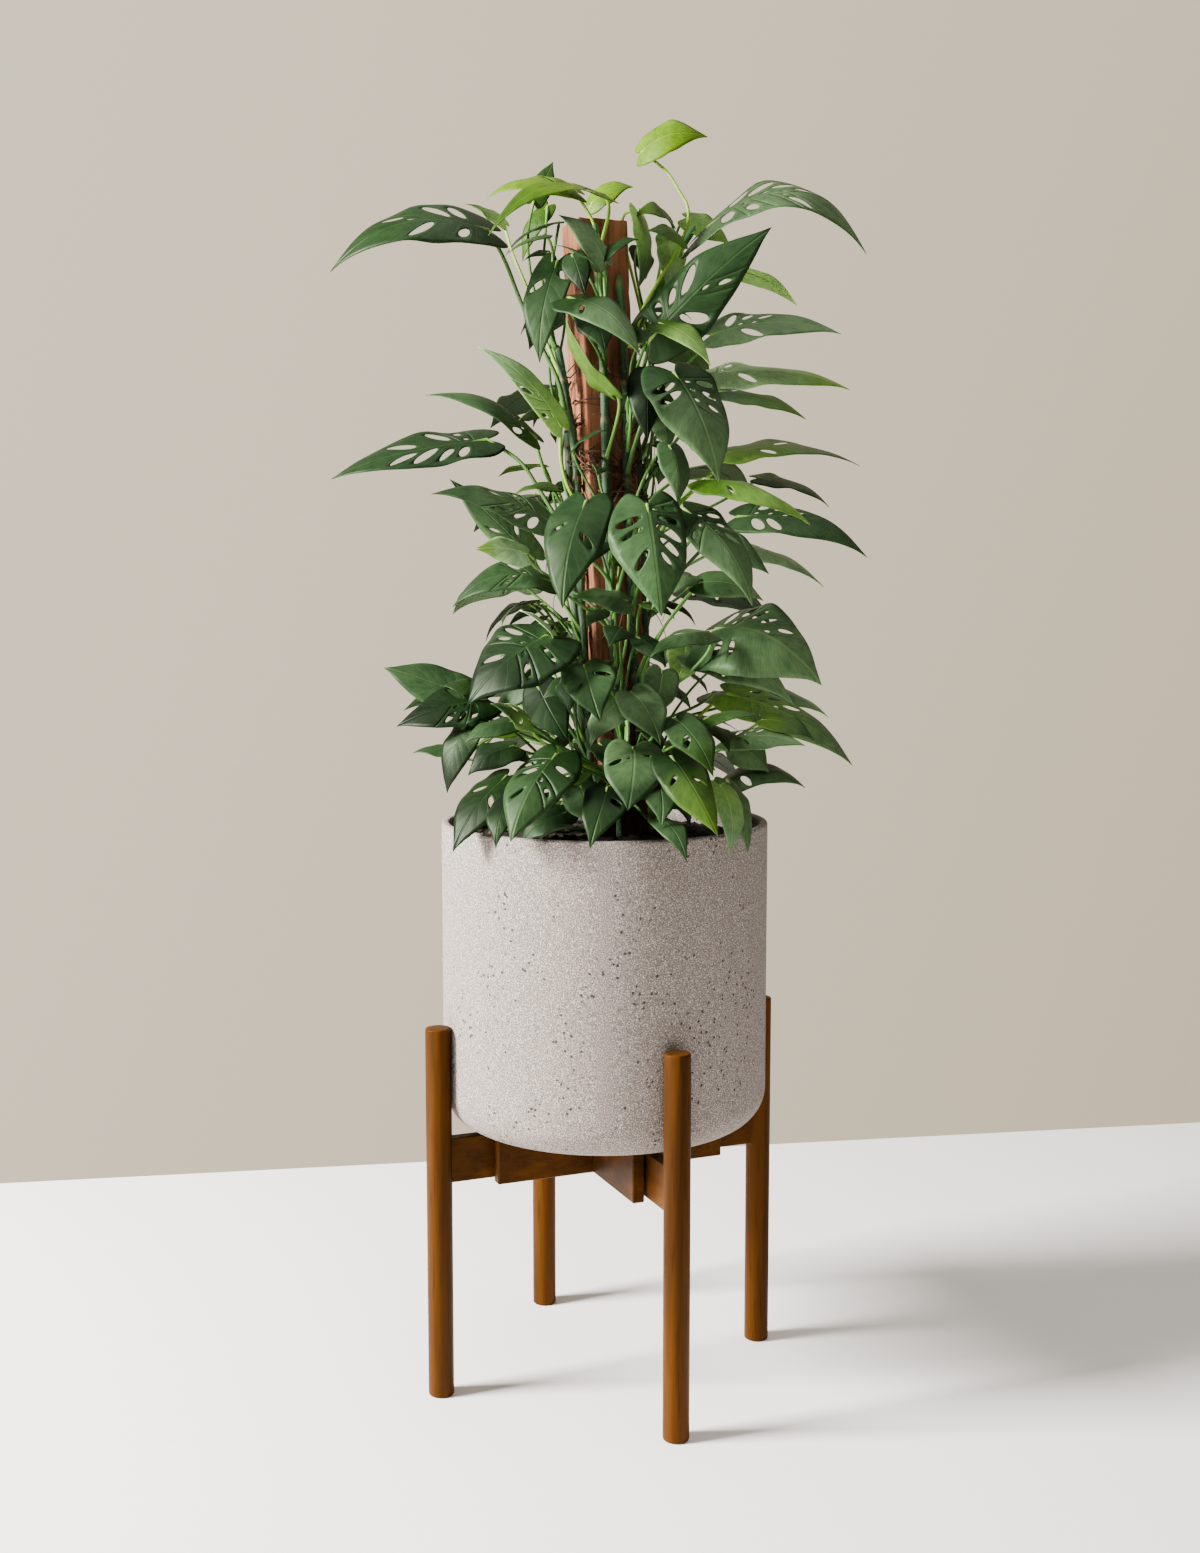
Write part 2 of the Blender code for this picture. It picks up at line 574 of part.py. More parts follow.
def make_totem(finish, parts):
    return post_body("totem_post", POST_HALF, POST_BOTTOM, POST_TOP, POST_CUTS, POST_ROUGH, finish, parts)


def stem_point(stem, z):
    """Centre of a stem at a height, in millimetres."""
    outward = direction(stem["face"])
    sideways = Vector((-outward.y, outward.x, 0.0))
    across = stem["across"]
    if stem["fork"] is not None:
        share = min(max((z - stem["low"]) / FORK_LENGTH, 0.0), 1.0)
        across = stem["fork"] + (across - stem["fork"]) * share
    away = STEM_CLEAR
    if z > POST_LEAN_START:
        across += STEM_SWAY * math.sin((z - POST_LEAN_START) / STEM_WAVE)
    lean_start = stem["top"] - LEAN_LENGTH
    if z > lean_start:
        away += stem["lean"] * ((z - lean_start) / LEAN_LENGTH) ** LEAN_POWER
    return post_centre(z) + outward * away + sideways * across


def stem_points(stem):
    count = round((stem["top"] - stem["low"]) / STEM_STEP)
    heights = [stem["low"] + (stem["top"] - stem["low"]) * i / count for i in range(count + 1)]
    return [stem_point(stem, z) for z in heights]


class Leaf:
    """One blade's frame and its curved surface, in millimetres."""

    def __init__(self, row, seed):
        base, tip, self.width, face, self.arch, self.holes = row
        draw = random.Random(seed)
        self.base = Vector(base)
        reach = Vector(tip) - self.base
        self.length = reach.length
        self.axis = reach.normalized()
        hint = face_direction(*face)
        self.normal = (hint - self.axis * hint.dot(self.axis)).normalized()
        self.side = self.normal.cross(self.axis)
        self.fold = draw.uniform(-0.22, 0.10)
        self.phase = draw.uniform(0.0, 6.2)
        self.skew = draw.uniform(-0.06, 0.06)
        self.large = self.length > LARGE_LEAF
        slim, heart = LOBE_LIMITS
        self.lobe = min(max(LOBE_SHARE * self.width / self.length, slim), heart)
        self.stalk = STALK_RADIUS[0] + STALK_RADIUS[1] * self.length

    def point(self, u, w, side):
        """Point at a share of the length, a share of the half width, and a side of +1 or -1."""
        if u < 0:
            u *= self.lobe
        across = side * w * self.width / 2 * (1 + side * self.skew)
        rise = self.arch * self.length * (1 - (2 * u - 1) ** 2)
        rise += self.fold * abs(across)
        rise += BLADE_WAVE * self.width * w * w * math.sin(8 * u + self.phase + side)
        return self.base + self.axis * (u * self.length) + self.side * across + self.normal * rise


def leaf_mesh(leaf, path):
    """One thin cage of triangles: the stalk as a strip along its path, then the blade.

    The blade has an edge, a midrib and holes between the side veins. Both ends of the strip's
    last step are the blade's own base, so stalk and blade are one sheet.
    """
    midrib = LARGE_MIDRIB if leaf.large else SMALL_MIDRIB
    edge = LARGE_EDGE if leaf.large else SMALL_EDGE
    open_sectors = HOLE_ORDER[: leaf.holes] if leaf.large else ()
    base_share = 2 * leaf.stalk / leaf.width
    bm = bmesh.new()
    weights = bm.verts.layers.deform.verify()
    strip = stalk_strip(bm, leaf, path)
    mids = [bm.verts.new(leaf.point(u, 0.0, 1) * MM) for u in midrib[1:]]
    tip = bm.verts.new(leaf.point(1.0, 0.0, 1) * MM)
    ends = [bm.verts.new(leaf.point(0.0, base_share, side) * MM) for side in (1, -1)]
    strip.append(ends)
    for near, far in zip(strip, strip[1:]):
        bm.faces.new((near[0], far[0], far[1], near[1]))
    for pair in strip:
        for vert in pair:
            vert[weights][0] = 1.0
    bm.faces.new((ends[0], mids[0], ends[1]))
    for side, foot in zip((1, -1), ends):
        rim = [bm.verts.new(leaf.point(u, w, side) * MM) for u, w in edge]
        spine = [foot] + mids
        bm.faces.new((foot, rim[1], rim[0]))
        bm.faces.new((mids[-1], tip, rim[-1]))
        for i in range(len(spine) - 1):
            outline = (spine[i], spine[i + 1], rim[i + 2], rim[i + 1])
            if (i, side) in open_sectors:
                corners = ((midrib[i], 0.0), (midrib[i + 1], 0.0), edge[i + 2], edge[i + 1])
                open_sector(bm, leaf, outline, corners, side)
            else:
                bm.faces.new(outline)
    bmesh.ops.recalc_face_normals(bm, faces=bm.faces)
    bmesh.ops.triangulate(bm, faces=bm.faces)
    mesh = bpy.data.meshes.new("leaf")
    bm.to_mesh(mesh)
    bm.free()
    return mesh


def stalk_strip(bm, leaf, path):
    """Pairs of points on both sides of the stalk's path, kept untwisted from the blade back."""
    pairs = []
    sideways = leaf.side
    for here, ahead in zip(reversed(path[:-1]), reversed(path[1:])):
        along = (ahead - here).normalized()
        sideways = (sideways - along * sideways.dot(along)).normalized()
        pairs.append([bm.verts.new((here + sideways * leaf.stalk * s) * MM) for s in (1, -1)])
    pairs.reverse()
    return pairs


def open_sector(bm, leaf, outline, corners, side):
    """Four faces round a four-sided hole in the stretch between two side veins."""
    hole = []
    low, high = HOLE_ALONG
    near, far = HOLE_ACROSS
    for along, across in ((low, near), (high, near), (high, far), (low, far)):
        shares = (
            (1 - along) * (1 - across),
            along * (1 - across),
            along * across,
            (1 - along) * across,
        )
        u = sum(s * c[0] for s, c in zip(shares, corners))
        w = sum(s * c[1] for s, c in zip(shares, corners))
        hole.append(bm.verts.new(leaf.point(u, w, side) * MM))
    for j in range(4):
        k = (j + 1) % 4
        bm.faces.new((outline[j], outline[k], hole[k], hole[j]))


def petiole_points(leaf, stems):
    """A leaf stalk that rises from the nearest stem and meets the blade from below."""
    target = leaf.base
    best = None
    for stem in stems:
        lowest = max(stem["low"], SOIL_MOUND) + STEM_CLEAR_LOW
        beside = stem_point(stem, min(max(target.z - STALK_DROP, lowest), stem["top"]))
        flat = (Vector((target.x, target.y, 0)) - Vector((beside.x, beside.y, 0))).length
        if best is None or flat < best[0]:
            best = (flat, stem)
    flat, stem = best
    lowest = max(stem["low"], SOIL_MOUND) + STEM_CLEAR_LOW
    drop = STALK_DROP + STALK_FALL * flat
    start = stem_point(stem, min(max(target.z - drop, lowest), stem["top"] - STEM_RADIUS))
    reach = (target - start).length
    outward = direction(stem["face"])
    out, up = STALK_START
    under, behind = STALK_END
    first = start + (outward * out + Vector((0.0, 0.0, up))) * reach
    second = target - (leaf.normal * under + leaf.axis * behind) * reach
    count = min(max(round(reach / STALK_STEP), 2), 4)
    points = []
    for i in range(count + 1):
        t = i / count
        points.append(
            start * (1 - t) ** 3
            + first * 3 * t * (1 - t) ** 2
            + second * 3 * t * t * (1 - t)
            + target * t ** 3
        )
    return points


def make_vine(name, finish, parts, cutters):
    """One vine: its stems, leaf stalks and blades, grown together as one body."""
    stems = STEMS[name]
    pieces = bpy.data.collections.new(f"{name}_pieces")
    bpy.context.scene.collection.children.link(pieces)
    trunk = tube(name, [p * MM for p in stem_points(stems[0])], STEM_RADIUS, 1, finish, parts)
    for fork in stems[1:]:
        tube(f"{name}_fork", [p * MM for p in stem_points(fork)], STEM_RADIUS, 1, None, pieces)
    for index, row in enumerate(LEAVES[name]):
        leaf = Leaf(row, LEAF_SEED + index)
        cage = leaf_mesh(leaf, petiole_points(leaf, stems))
        sheet = add_object(f"{name}_leaf_{index}", cage, None, pieces)
        stalk_group = sheet.vertex_groups.new(name="stalk")
        shell = sheet.modifiers.new("thickness", "SOLIDIFY")
        shell.thickness = 2 * leaf.stalk * MM
        shell.offset = 0.0
        shell.vertex_group = stalk_group.name
        shell.thickness_vertex_group = BLADE_THICK / (2 * leaf.stalk)
    union = trunk.modifiers.new("grow together", "BOOLEAN")
    union.operation = "UNION"
    union.operand_type = "COLLECTION"
    union.collection = pieces
    union.solver = "MANIFOLD"
    bpy.context.view_layer.update()
    graph = bpy.context.evaluated_depsgraph_get()
    fused = bpy.data.meshes.new_from_object(trunk.evaluated_get(graph))
    trunk.modifiers.clear()
    trunk.data = fused
    for piece in list(pieces.objects):
        bpy.data.objects.remove(piece, do_unlink=True)
    bpy.data.collections.remove(pieces)
    foot = stem_point(stems[0], STEM_BOTTOM)
    hole = turned_rod(f"{name}_hole", STEM_RADIUS + 1.5 * GAP, STEM_HOLE, None, cutters)
    hole.location = Vector((foot.x, foot.y, STEM_BOTTOM - GAP)) * MM
    return trunk, as_cutter(hole)


def main():
    clear_scene()
    parts = new_collection("potted_monstera_adansonii")
    cutters = new_collection("cutters")
    finish = {name: make_material(name) for name in COLOURS}
    for index in range(4):
        make_leg(index, finish["stand_wood"], parts, cutters)
        make_arm(index, finish["stand_wood"], parts, cutters)
        make_bolt_set(index, finish["black_steel"], parts)
    for index in range(2):
        make_board(index, finish["stand_wood"], parts, cutters)
    make_pot(finish["stone"], parts)
    soil = make_soil(finish["soil"], parts)
    make_totem(finish["totem_wood"], parts)
    socket = post_body(
        "totem_hole", POST_HALF + GAP, POST_BOTTOM - GAP, POST_LEAN_START, 0, 0.0, None, cutters
    )
    cut(soil, as_cutter(socket))
    for name in STEMS:
        cut(soil, make_vine(name, finish["foliage"], parts, cutters)[1])
    for obj in parts.objects:
        obj.data.shade_smooth()
        obj.data.set_sharp_from_angle(angle=math.radians(SMOOTH_ANGLE))


main()
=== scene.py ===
import math
import random

import bpy
from mathutils import Euler, Matrix, Vector, noise


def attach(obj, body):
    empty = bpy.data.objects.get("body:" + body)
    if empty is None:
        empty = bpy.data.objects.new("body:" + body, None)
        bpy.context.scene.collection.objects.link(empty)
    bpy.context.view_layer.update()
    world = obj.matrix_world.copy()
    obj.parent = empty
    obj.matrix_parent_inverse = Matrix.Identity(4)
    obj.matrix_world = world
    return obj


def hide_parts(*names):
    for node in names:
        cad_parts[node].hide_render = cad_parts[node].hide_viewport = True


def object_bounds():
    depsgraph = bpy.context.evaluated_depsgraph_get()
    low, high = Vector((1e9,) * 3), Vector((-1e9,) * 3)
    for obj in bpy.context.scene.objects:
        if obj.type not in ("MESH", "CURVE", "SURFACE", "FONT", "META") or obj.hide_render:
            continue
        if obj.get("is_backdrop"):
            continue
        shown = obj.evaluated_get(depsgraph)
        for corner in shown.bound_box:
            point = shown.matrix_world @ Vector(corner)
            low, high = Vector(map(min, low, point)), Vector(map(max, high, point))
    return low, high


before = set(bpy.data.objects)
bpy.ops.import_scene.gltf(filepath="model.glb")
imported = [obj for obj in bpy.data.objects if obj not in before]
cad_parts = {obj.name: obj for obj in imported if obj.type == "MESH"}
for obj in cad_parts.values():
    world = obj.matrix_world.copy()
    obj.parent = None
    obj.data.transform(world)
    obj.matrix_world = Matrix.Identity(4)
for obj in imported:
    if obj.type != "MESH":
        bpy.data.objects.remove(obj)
cadLow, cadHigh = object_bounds()
mm = 0.001
print("frame loaded")


def hold(name, data, place, turn):
    # a camera or a lamp at its place
    holder = bpy.data.objects.new(name, data)
    holder.location = place
    holder.rotation_euler = turn
    bpy.context.scene.collection.objects.link(holder)
    return holder


# The camera stands where the photographer stood, looking a little down
view = {"place": (-0.0045, -1.732, 0.7795), "down": 5.87, "lens": 41.05, "film": 36}
camera = bpy.data.cameras.new("camera")
camera.sensor_fit = "VERTICAL"
camera.sensor_height = camera.sensor_width = view["film"]
camera.lens = view["lens"]
tilt = (math.radians(90 - view["down"]), 0, 0)
bpy.context.scene.camera = hold("camera", camera, view["place"], tilt)


def paint(code):
    # a colour from its screen code, in the numbers that light is worked out in
    steps = [int(code[i:i + 2], 16) / 255 for i in (0, 2, 4)]
    return tuple(c / 12.92 if c <= 0.04045 else ((c + 0.055) / 1.055) ** 2.4 for c in steps)


class Value:
    # a socket in a material, so that shader maths reads as an expression
    def __init__(self, finish, socket):
        self.finish = finish
        self.socket = socket

    def __add__(self, other):
        return self.finish.maths("ADD", self, other)

    def __sub__(self, other):
        return self.finish.maths("SUBTRACT", self, other)

    def __rsub__(self, other):
        return self.finish.maths("SUBTRACT", other, self)

    def __mul__(self, other):
        return self.finish.maths("MULTIPLY", self, other)

    __radd__ = __add__
    __rmul__ = __mul__


class Finish:
    # one material: a Principled shader and the nodes before it
    def __init__(self, name, specular, sheen=(1, 1, 1), metal=0.0):
        self.material = bpy.data.materials.new(name)
        self.material.use_nodes = True
        self.tree = self.material.node_tree
        self.shader = self.tree.nodes["Principled BSDF"]
        self.shader.inputs["Specular IOR Level"].default_value = specular
        self.shader.inputs["Specular Tint"].default_value = (*sheen, 1)
        self.shader.inputs["Metallic"].default_value = metal

    def node(self, kind, settings, sockets, output=0):
        made = self.tree.nodes.new(kind)
        for name, value in settings.items():
            setattr(made, name, value)
        for name, value in sockets.items():
            if isinstance(value, Value):
                self.tree.links.new(value.socket, made.inputs[name])
            else:
                made.inputs[name].default_value = value
        return Value(self, made.outputs[output])

    def maths(self, how, a, b):
        return self.node("ShaderNodeMath", {"operation": how}, {0: a, 1: b})

    def tint(self):
        # the colour that the mesh carries in its points
        return self.node("ShaderNodeAttribute", {"attribute_name": "tint"}, {}, "Color")

    def chart(self, name):
        return self.node("ShaderNodeUVMap", {"uv_map": name}, {})

    def part(self, value, axis):
        return self.node("ShaderNodeSeparateXYZ", {}, {0: value}, axis)

    def space(self, scale=(1, 1, 1), turn=0.0, shift=0.0, here=None):
        # the object's own coordinates, in metres, stretched along a grain where needed
        here = here or self.node("ShaderNodeTexCoord", {}, {}, "Object")
        fixed = {"Vector": here, "Scale": scale, "Rotation": (0, 0, turn), "Location": (shift, 0, 0)}
        return self.node("ShaderNodeMapping", {}, fixed)

    def grain(self, where, scale, detail=2.0, rough=0.5, twist=0.0):
        fixed = {"Vector": where, "Scale": scale, "Detail": detail, "Roughness": rough, "Distortion": twist}
        return self.node("ShaderNodeTexNoise", {}, fixed, "Fac")

    def between(self, value, low, high):
        # 0 below low, 1 above high and smooth from one to the other
        sockets = {"Value": value, "From Min": low, "From Max": high}
        return self.node("ShaderNodeMapRange", {"interpolation_type": "SMOOTHSTEP"}, sockets)

    def blend(self, share, a, b, how="MIX"):
        sockets = {0: share}
        for index, colour in ((6, a), (7, b)):
            if isinstance(colour, str):
                colour = paint(colour)
            sockets[index] = colour if isinstance(colour, Value) else (*colour, 1)
        return self.node("ShaderNodeMix", {"data_type": "RGBA", "blend_type": how}, sockets, 2)

    def times(self, colour, factors):
        return self.blend(1.0, colour, factors, "MULTIPLY")

    def shades(self, value, *stops):
        made = self.node("ShaderNodeValToRGB", {}, {"Fac": value})
        ramp = made.socket.node.color_ramp.elements
        while len(ramp) < len(stops):
            ramp.new(0.5)
        for element, (place, code) in zip(ramp, stops):
            element.position = place
            element.color = (*paint(code), 1)
        return made

    def feed(self, tone, rough, height=None, distance=0.0):
        links = {"Base Color": tone, "Roughness": rough}
        if height:
            sockets = {"Height": height, "Distance": distance, "Strength": 1.0}
            links["Normal"] = self.node("ShaderNodeBump", {}, sockets)
        for name, value in links.items():
            self.tree.links.new(value.socket, self.shader.inputs[name])
        return self.material


# Working by hand: picking pieces and parts of pieces, and shaping them
def letGo():
    if bpy.context.mode != "OBJECT":
        bpy.ops.object.mode_set(mode="OBJECT")
    bpy.ops.object.select_all(action="DESELECT")


def pick(piece):
    letGo()
    piece.select_set(True)
    bpy.context.view_layer.objects.active = piece


def start(name, primitive, **values):
    # a primitive at its size and place, which is where its piece begins
    letGo()
    primitive(**values)
    piece = bpy.context.active_object
    piece.name = name
    piece.data.name = name
    bpy.ops.object.transform_apply(location=True, rotation=True, scale=True)
    return piece


def cylinder(name, sides, radius, low, high, **more):
    # an upright cylinder, in millimetres
    return start(
        name, bpy.ops.mesh.primitive_cylinder_add, vertices=sides, radius=radius * mm,
        depth=(high - low) * mm, location=(0, 0, (low + high) / 2 * mm), **more,
    )


def grab(piece, what, wanted):
    # selects faces or edges by their middle and direction, and stays in edit mode
    pick(piece)
    bpy.ops.object.mode_set(mode="EDIT")
    bpy.ops.mesh.select_mode(type=what)
    bpy.ops.mesh.select_all(action="DESELECT")
    bpy.ops.object.mode_set(mode="OBJECT")
    mesh = piece.data
    if what == "FACE":
        for face in mesh.polygons:
            face.select = wanted(face.center, face.normal)
    else:
        for edge in mesh.edges:
            near, far = (mesh.vertices[i].co for i in edge.vertices)
            edge.select = wanted((near + far) / 2, (far - near).normalized())
    bpy.ops.object.mode_set(mode="EDIT")


def bevel(piece, wanted, wide, segments):
    grab(piece, "EDGE", wanted)
    bpy.ops.mesh.bevel(offset=wide * mm, segments=segments, affect="EDGES")


def level(middle, way):
    # picks the edges that lie flat
    return abs(way.z) < 0.1


def sink(piece, side, inset, drop):
    # an inset of the top (side 1) or the foot (side -1), pushed down
    grab(piece, "FACE", lambda middle, normal: normal.z * side > 0.9)
    bpy.ops.mesh.inset(thickness=inset * mm)
    bpy.ops.mesh.extrude_region_move(TRANSFORM_OT_translate={"value": (0, 0, -drop * mm)})


def smooth(piece, angle=None):
    # smooth all over, or up to an angle in degrees
    pick(piece)
    if angle:
        bpy.ops.object.shade_smooth_by_angle(angle=math.radians(angle))
    else:
        bpy.ops.object.shade_smooth()
    return piece


def modify(piece, kind, **values):
    pick(piece)
    modifier = piece.modifiers.new(kind.lower(), kind)
    for name, value in values.items():
        setattr(modifier, name, value)
    bpy.ops.object.modifier_apply(modifier=modifier.name)


def settle(piece, finishNames, slotName, *nodes):
    # the piece gets its finish, rides with the object and stands for its CAD nodes
    piece.data.materials.clear()
    for name in finishNames.split():
        piece.data.materials.append(finishes[name])
    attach(piece, "root")
    if nodes:
        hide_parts(*nodes)


def compass(degrees):
    angle = math.radians(degrees)
    return Vector((math.cos(angle), math.sin(angle), 0))


def mixed(a, b, share):
    return tuple(x * (1 - share) + y * share for x, y in zip(a, b))


# Finishes: the sizes of grains are counts per metre
woodTones = {"dark": "211103", "mid": "3a2007", "light": "502d0a"}


def standWood(name, grainAlong, turn):
    finish = Finish(name, 0.07, (1.0, 0.75, 0.4))
    stretch = (5, 95, 95) if grainAlong == "x" else (95, 95, 5)

    def stretched(times, shift=0.0):
        return finish.space([s * times for s in stretch], math.radians(-turn), shift)

    fibre = finish.grain(stretched(1, 7.3), 1.0, 4.0, 0.6, 0.3)
    wide = finish.grain(stretched(0.22, 7.3), 1.0, 3.0, 0.5, 0.8)
    pore = finish.grain(stretched(4), 1.0, 1.0)
    dark, mid, light = woodTones.values()
    tone = finish.shades(wide * 0.6 + fibre * 0.4, (0.30, dark), (0.47, mid), (0.62, light), (0.80, mid))
    tone = finish.blend(finish.between(pore, 0.60, 0.72) * 0.45, tone, dark)
    return finish.feed(tone, 0.38 + fibre * 0.22, fibre * 0.5 + pore * 0.25, 0.0005)


def potStone():
    finish = Finish("potStone", 0.3)
    here = finish.space()
    fine = finish.grain(here, 1150, 2.0, 0.75)
    flecks = finish.grain(here, 950, 1.0, 0.5)
    cloud = finish.grain(here, 9, 3.0, 0.6)
    tone = finish.shades(fine, (0.28, "463c37"), (0.43, "6a605a"), (0.55, "7f746e"), (0.70, "aba19c"))
    tone = finish.blend(finish.between(flecks, 0.57, 0.63) * 0.8, tone, "cbc6c1")
    tone = finish.blend(finish.between(flecks, 0.42, 0.36) * 0.7, tone, "514942")
    tone = finish.blend(cloud * 0.22, tone, "7f756f")
    # small pits, in clusters, mostly on the lower half; each pit is dented and darkened, and the dark is
    # painted shade inside the pit
    spots = {"Vector": here, "Scale": 150, "Randomness": 1.0}
    cells = finish.node("ShaderNodeTexVoronoi", {"feature": "F1"}, spots, "Distance")
    low = finish.between(finish.part(here, "Z"), 0.54, 0.40)
    cluster = finish.between(finish.grain(here, 20, 3.0, 0.6) + low * 0.05, 0.53, 0.59)
    wobble = finish.grain(here, 700, 1.0)
    pit = finish.between(cells + wobble * 0.16, 0.305, 0.26) * cluster
    # painted shade: the pits darkened towards a near black brown
    tone = finish.blend(pit * 0.9, tone, "2a221b")
    return finish.feed(tone, 0.74 + fine * 0.2, fine * 0.35 + flecks * 0.3 - pit * 1.6, 0.0004)


def darkSoil():
    finish = Finish("darkSoil", 0.25)
    here = finish.space()
    crumb = finish.grain(here, 260, 4.0, 0.65)
    clod = finish.grain(here, 60, 2.0)
    dirt = crumb * 0.7 + clod * 0.3
    tone = finish.shades(dirt, (0.34, "0c0a09"), (0.50, "1d1814"), (0.64, "33281f"), (0.78, "4d3d2e"))
    return finish.feed(tone, 0.8 + crumb * 0.2, crumb + clod * 0.5, 0.002)


def barkChips():
    finish = Finish("barkChips", 0.25)
    rough = finish.grain(finish.space(), 420, 3.0, 0.6)
    tone = finish.blend(rough * 0.8, finish.tint(), "15100c")
    return finish.feed(tone, 0.75 + rough * 0.2, rough, 0.0006)


def totemWood():
    finish = Finish("totemWood", 0.25)
    fibre = finish.grain(finish.space((1, 1, 0.05)), 330, 4.0, 0.65)
    band = finish.grain(finish.space((1, 1, 0.12)), 55, 3.0, 0.55, 0.6)
    saw = finish.grain(finish.space((0.25, 0.25, 1)), 420, 2.0, 0.5)
    stain = finish.grain(finish.space((1, 1, 0.6)), 16, 3.0, 0.6)
    streak = band * 0.6 + fibre * 0.4
    tone = finish.shades(streak, (0.30, "3e2213"), (0.44, "613923"), (0.56, "7c4d32"), (0.72, "a06e4f"))
    tone = finish.blend(finish.between(stain, 0.56, 0.76) * 0.45, tone, "4a2a1c")
    tone = finish.blend(finish.between(fibre, 0.42, 0.32) * 0.65, tone, "331c12")
    return finish.feed(tone, 0.72 + fibre * 0.2, fibre * 0.9 + saw * 0.35 + band * 0.4, 0.0007)


def leafSkin(name, under):
    # the vein map holds the share from one side vein to the next and from the midrib to the margin
    finish = Finish(name, 0.10 if under else 0.15, (0.75, 1.0, 0.62))
    own = finish.tint()
    veinMap = finish.chart("veins")
    toNext = finish.part(veinMap, "X")
    toVein = finish.maths("MINIMUM", toNext, 1 - toNext)
    vein = finish.between(toVein, 0.05, 0.0)
    rib = finish.between(finish.maths("ABSOLUTE", finish.part(finish.chart("plan"), "Y"), 0.0), 0.05, 0.01)
    here = finish.space()
    mottle = finish.grain(here, 70, 4.0, 0.6)
    pores = finish.grain(here, 900, 2.0, 0.6)
    fineVein = finish.grain(finish.space((7.0, 1.6, 1.0), here=veinMap), 2.2, 2.0, 0.5, 0.4)
    lit = finish.times(own, (1.95, 1.68, 1.45))
    deep = finish.times(own, (0.54, 0.62, 0.66))
    tone = finish.blend(finish.between(mottle, 0.30, 0.70), deep, own)
    tone = finish.blend(finish.between(fineVein, 0.35, 0.75) * 0.34, tone, lit)
    if under:
        tone = finish.blend(0.16, finish.times(tone, (1.35, 1.28, 1.35)), "8aa878")
    # painted highlight: a thin paler band along the blade's margin, where light catches the edge
    margin = finish.between(finish.part(veinMap, "Y"), 0.965, 1.0)
    for share in (vein * 0.3, rib * 0.5, margin * 0.18):
        tone = finish.blend(share, tone, lit)
    side = 1.0 if under else -1.0
    quilt = finish.between(toVein, 0.0, 0.42)
    height = vein * side * 0.12 + rib * side * 0.7 + quilt * 0.1 + fineVein * 0.1 + pores * 0.05
    rough = (0.58 if under else 0.38) + mottle * 0.18 + vein * 0.05
    return finish.feed(tone, rough, height, 0.00045)


def stemSkin():
    finish = Finish("stemSkin", 0.2)
    own = finish.tint()
    streak = finish.grain(finish.space((9.0, 0.8, 1.0), here=finish.chart("plan")), 3.0, 3.0, 0.6)
    spots = finish.grain(finish.space(), 420, 2.0, 0.6)
    light = finish.times(own, (1.5, 1.4, 1.25))
    dark = finish.times(own, (0.6, 0.62, 0.66))
    tone = finish.blend(finish.between(streak, 0.35, 0.68), dark, light)
    tone = finish.blend(finish.between(spots, 0.62, 0.70) * 0.35, tone, "8a9a70")
    return finish.feed(tone, 0.42 + streak * 0.2, streak + spots * 0.3, 0.0004)


def rootSkin():
    finish = Finish("rootSkin", 0.2)
    bark = finish.grain(finish.space(), 500, 3.0, 0.65)
    tone = finish.blend(finish.between(bark, 0.4, 0.7) * 0.5, finish.tint(), "5d4430")
    return finish.feed(tone, 0.8 + bark * 0.15, bark, 0.0006)


def blackSteel():
    finish = Finish("blackSteel", 0.5, metal=0.7)
    wear = finish.grain(finish.space(), 240, 4.0, 0.6)
    tone = finish.blend(finish.between(wear, 0.55, 0.72) * 0.5, "15181b", "3c4146")
    return finish.feed(tone, 0.36 + wear * 0.25, wear, 0.0001)


def studioFloor():
    finish = Finish("studioFloor", 0.15)
    haze = finish.grain(finish.space(), 900, 2.0, 0.6)
    return finish.feed(finish.blend(haze * 0.25, "f4f2ef", "e6e2dd"), 0.82 + haze * 0.1)


standTurn = 22.4
finishes = {
    "legs": standWood("standWoodLegs", "z", 0),
    "along": standWood("standWoodAlong", "x", standTurn),
    "across": standWood("standWoodAcross", "x", standTurn + 90),
    "pot": potStone(),
    "soil": darkSoil(),
    "chips": barkChips(),
    "totem": totemWood(),
    "upper": leafSkin("leafUpper", False),
    "under": leafSkin("leafUnder", True),
    "stem": stemSkin(),
    "root": rootSkin(),
    "steel": blackSteel(),
    "floor": studioFloor(),
}
print("finishes made")

# Studio: a pale floor in front of a lit wall, a dimmer room, a broad key from the left and soft fills
studio = {
    # the wall's two colours hold painted light: brighter on the left, the key's side, and darker on the right
    "wallLeft": (0.676, 0.582, 0.446), "wallRight": (0.478, 0.398, 0.290), "room": (0.080, 0.068, 0.055),
    "strength": 1.77, "floorBack": 0.686, "floorTurn": 9.2, "floorReach": 6.0, "aim": (0, 0, 0.65),
    "lamps": {
        "key": {"place": (-2.6, -0.69, 1.9), "size": 0.9, "power": 620, "colour": (1.0, 0.97, 0.93)},
        "front": {"place": (-0.7, -3.4, 2.4), "size": 2.2, "power": 2, "colour": (1.0, 0.98, 0.95)},
        "top": {"place": (0.5, -0.4, 3.4), "size": 2.6, "power": 60, "colour": (1.0, 0.99, 0.98)},
    },
}
floor = start("studioFloor", bpy.ops.mesh.primitive_plane_add, size=1)
reach = studio["floorReach"]
for vertex, (x, y) in zip(floor.data.vertices, ((-1, -1), (1, -1), (-1, 1), (1, 1))):
    back = studio["floorBack"] + x * reach * math.tan(math.radians(studio["floorTurn"]))
    vertex.co = (x * reach, back if y > 0 else -reach, 0)
floor.data.materials.append(finishes["floor"])
